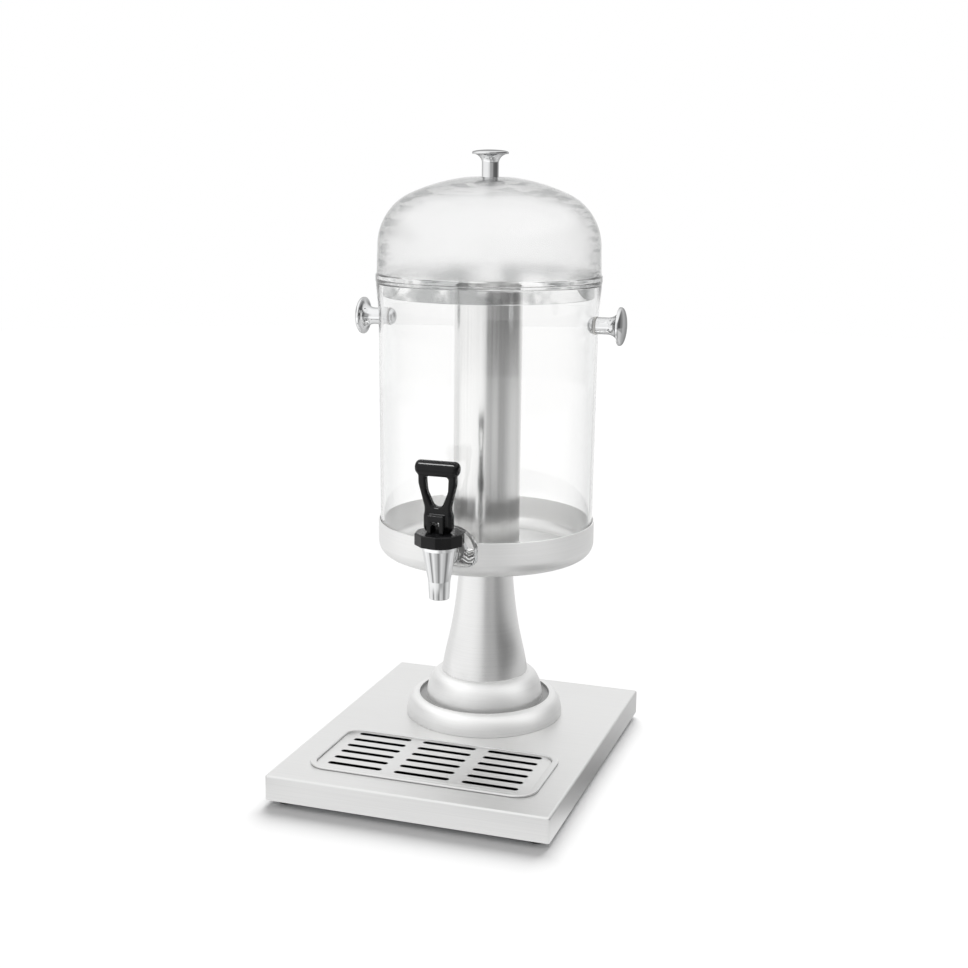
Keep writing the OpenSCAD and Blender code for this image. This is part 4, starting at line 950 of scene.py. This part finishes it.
def polygon_distance(x, y, outline):
    """Distance to a closed outline, negative inside: the nearest of its edges, with the sign from how often
    a line to the right crosses it."""
    nearest = np.full(np.broadcast(x, y).shape, 1e9)
    inside = np.zeros(nearest.shape, bool)
    for (ax, ay), (bx, by) in zip(outline, np.roll(outline, -1, axis=0)):
        ex, ey = bx - ax, by - ay
        part = np.clip(((x - ax) * ex + (y - ay) * ey) / (ex * ex + ey * ey), 0.0, 1.0)
        nearest = np.minimum(nearest, (x - ax - part * ex) ** 2 + (y - ay - part * ey) ** 2)
        if ey:
            inside ^= ((ay > y) != (by > y)) & (x < ax + ex * (y - ay) / ey)
    return np.where(inside, -1.0, 1.0) * np.sqrt(nearest)


def eased(first, second, radius):
    """Distance to the overlap of two shapes, each already drawn in by a radius, with that radius on their
    edge."""
    outer = np.hypot(np.maximum(first, 0.0), np.maximum(second, 0.0))
    return outer + np.minimum(np.maximum(first, second), 0.0) - radius


def brick(x, y, z, half, radius):
    """Distance to a box about the origin with round edges."""
    sides = [np.abs(value) - size + radius for value, size in zip((x, y, z), half)]
    outer = np.sqrt(sum(np.maximum(side, 0.0) ** 2 for side in sides))
    return outer + np.minimum(np.maximum(np.maximum(sides[0], sides[1]), sides[2]), 0.0) - radius


def melt(first, second, radius):
    """Union of two distances with a fillet of about the radius in the corner between them."""
    share = np.maximum(radius - np.abs(first - second), 0.0) / radius
    return np.minimum(first, second) - share * share * radius / 4


arm_outer = rounded([(-12.4, 5.0, 1.0), (12.4, 5.0, 1.0), (12.4, 23.8, 12.0), (17.8, 45.2, 12.0),
                     (17.8, 59.3, 1.0), (-17.8, 59.3, 1.0), (-17.8, 45.2, 12.0), (-12.4, 23.8, 12.0)],
                    steps=12)
arm_window = rounded([(-4.0, 23.8, 5.4), (4.0, 23.8, 5.4), (10.0, 38.0, 14.0), (11.0, 52.0, 3.0),
                      (-11.0, 52.0, 3.0), (-10.0, 38.0, 14.0)], steps=12)


def handle_distance(x, y, z):
    """Distance to the handle in the plane of its arms: x across, y back, z up along the arms."""
    lying = y * np.cos(handle_tilt) - z * np.sin(handle_tilt)
    rising = y * np.sin(handle_tilt) + z * np.cos(handle_tilt)
    front = np.maximum(polygon_distance(x, z, arm_outer), -polygon_distance(x, z, arm_window))
    arms = eased(front + arm_edge, np.abs(y) - arm_depth + arm_edge, arm_edge)
    flank = brick(x, lying, rising - foot_half, (12.4, arm_depth, foot_half), 2.6)
    block = brick(x, lying + 1.5, rising - foot_half, (7.8, 10.0, foot_half), 0.8)
    bar = np.hypot(y, z - grip_height) - grip_radius
    grip = eased(np.abs(x) - grip_half + grip_end, bar + grip_end, grip_end)
    solid = melt(melt(melt(arms, flank, 5.0), grip, 1.6), block, 1.2)
    slot = brick(x, lying, rising - 2.0, (4.0, 40.0, 9.2), 1.0)
    pin = np.hypot(lying - 1.5, rising - 3.2) - 1.25
    return np.maximum(np.maximum(solid, -slot), -pin)


def shell_of(distance, low, high, step, feel=0.02):
    """Surface where a distance is zero: one point in each cell of a grid that it crosses, at the mean of the
    crossings on the cell's edges and then drawn on to the surface by its slope, and one quad round each
    crossed grid edge."""
    lines = [np.arange(a, b + step, step) for a, b in zip(low, high)]
    field = np.broadcast_to(distance(*np.meshgrid(*lines, indexing="ij", sparse=True)),
                            [len(line) for line in lines])
    cells = np.array(field.shape) - 1
    total, count, quads = np.zeros((*cells, 3)), np.zeros(cells), []
    number = np.arange(field.size).reshape(field.shape)
    for way in range(3):
        first = np.moveaxis(field, way, 0)
        crossed = (first[:-1] < 0) != (first[1:] < 0)
        part = np.where(crossed, first[:-1] / np.where(crossed, first[:-1] - first[1:], 1.0), 0.0)
        spot = np.stack(np.indices(crossed.shape, float), axis=-1)
        spot[..., 0] += part
        order = [way] + [other for other in range(3) if other != way]
        spot = spot[..., np.argsort(order)]
        near = np.moveaxis(number, way, 0)[:-1]
        corners = (near[:, :-1, :-1], near[:, 1:, :-1], near[:, 1:, 1:], near[:, :-1, 1:])
        hit = crossed[:, 1:-1, 1:-1]
        quads.append(np.stack([corner[:, :-1, :-1][hit] for corner in corners], axis=-1))
        for a, b in np.ndindex(2, 2):
            block = np.s_[:, a:a + crossed.shape[1] - 1, b:b + crossed.shape[2] - 1]
            np.moveaxis(count, way, 0)[...] += crossed[block]
            np.moveaxis(total, way, 0)[...] += np.where(crossed[block][..., None], spot[block], 0.0)
    used = count > 0
    points = np.asarray(low) + step * total[used] / count[used][:, None]
    for _ in range(4):
        slope = np.stack([distance(*(points + shift).T) - distance(*(points - shift).T)
                          for shift in feel * np.eye(3)], axis=-1) / (2 * feel)
        slope /= np.maximum((slope ** 2).sum(1, keepdims=True), 0.25)
        points = points - np.clip(distance(*points.T)[:, None] * slope, -step / 2, step / 2)
    place = np.full(field.shape, -1)
    place[:-1, :-1, :-1][used] = np.arange(used.sum())
    return points, place.ravel()[np.concatenate(quads)]


handle_points, handle_quads = shell_of(handle_distance, (-23.0, -13.5, -2.0), (23.0, 12.0, 67.5), grid_step)
lean = np.array(((1.0, 0.0, 0.0), (0.0, np.cos(handle_tilt), np.sin(handle_tilt)),
                 (0.0, -np.sin(handle_tilt), np.cos(handle_tilt))))
handle = piece_of("tap_handle_moulding", handle_points @ lean + handle_spot, handle_quads.tolist(), 50)
wear(handle, black_plastic)
strip_pieces.objects.link(handle)
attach(handle, "tap_handle")
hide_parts("tap_handle")


# Ice tube: a drawn stainless tube with a closed foot and a rolled lip, polished bright, standing in the
# tank's ring. Drawing leaves long faint streaks along it.
tube_radius, tube_low, tube_high, tube_wall, tube_lip = 32.5, 199.3, 453.3, 1.0, 1.1
tube_profile = rounded(
    [(0.0, tube_low, 0.0), (tube_radius, tube_low, 2.5)],
    bow(tube_radius, tube_high - tube_lip, tube_lip, tube_lip, -80, 90, 12),
    [(tube_radius - tube_wall, tube_high, 0.3), (tube_radius - tube_wall, tube_low + tube_wall, 1.5),
     (0.0, tube_low + tube_wall, 0.0)], closed=False)


def drawn_stroke(spot):
    """Strokes along the tube: the coordinate runs fast round it and slowly along it."""
    return vector("MULTIPLY", spot, (420.0, 420.0, 3.0))


tube = turned("ice_tube_drawn", tube_profile, axis)
polished_steel = brushed("polished_steel", (0.82, 0.82, 0.815), 0.15, 0.06, 0.03, drawn_stroke)
wear(tube, polished_steel)
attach(tube, "ice_tube")
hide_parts("ice_tube")


# Lid: a clear moulded dome with a flange over the tank's mouth, a skirt that drops inside it and a small
# recessed seat on top for the knob.
lid_flange, lid_low, lid_step, lid_shoulder = 107.9, 459.3, 466.0, 492.8
skirt_out, skirt_in, skirt_low = 101.4, 98.4, 446.0
dome_foot, dome_wall = 106.8, 2.5
shoulder_reach, shoulder_middle, crown_reach = 54.0, 52.0, 180.0
seat_reach, seat_edge, seat_height, seat_bore = 15.0, 20.0, 552.016, 2.8
crown_middle = lid_shoulder - np.sqrt((crown_reach - shoulder_reach) ** 2 - shoulder_middle ** 2)
blend_turn = np.degrees(np.arccos(shoulder_middle / (crown_reach - shoulder_reach)))


def dome(wall):
    """Half section of the dome drawn in by a wall: an upright foot, the shoulder's arc, the crown's arc and
    the slope into the knob's seat."""
    edge_turn = np.degrees(np.arccos(seat_edge / crown_reach))
    return np.concatenate([
        [(dome_foot - wall, lid_step + 1.1, 0.6)],
        bow(shoulder_middle, lid_shoulder, shoulder_reach - wall, shoulder_reach - wall, 0, blend_turn, 28),
        bow(0.0, crown_middle, crown_reach - wall, crown_reach - wall, blend_turn, edge_turn, 14)[1:-1],
        [(seat_edge, crown_middle + (crown_reach - wall) * np.sin(np.radians(edge_turn)), 3.0),
         (seat_reach, seat_height - wall, 1.5)]])


lid_profile = rounded(
    [(skirt_in, skirt_low, 0.5), (skirt_out, skirt_low, 0.8), (skirt_out, lid_low, 0.5),
     (lid_flange, lid_low, 0.7), (lid_flange, lid_step, 0.9)], dome(0.0),
    [(seat_bore, seat_height, 0.2), (seat_bore, seat_height - dome_wall, 0.2)], dome(dome_wall)[::-1],
    [(dome_foot - dome_wall, lid_low + dome_wall, 0.8), (skirt_in, lid_low + dome_wall, 0.8)])
lid = turned("lid_dome", lid_profile, axis, steps=216)
# The lid's edge, flange and skirt are greyed by painted shade.
lid_plastic = clear("lid_plastic", (0.99, 0.991, 0.99), (0.2, 0.21, 0.21), 0.6, 0.01, 0.2, 0.16,
                    ((lid_step * MM + 0.0008, (0.55, 0.56, 0.56)), (lid_low * MM, (0.45, 0.46, 0.46))))
wear(lid, lid_plastic)
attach(lid, "lid")
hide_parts("lid")


# Lid knob: a turned and chromed knob on a thin foot flange in the lid's seat, held by a domed screw
# through a clear washer under the dome.
lid_knob = turned("lid_knob_turned", knob_outline(17.5, 17.1, 8.5, 2.5, (13.8, 2.0)),
                  (0.0, axis[1], seat_height), steps=96)
wear(lid_knob, bright_chrome)
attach(lid_knob, "lid")
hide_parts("lid_knob")
repaint(clear_plastic, "lid_knob_washer")
repaint(polished_screw, "lid_knob_screw")

bpy.context.view_layer.update()
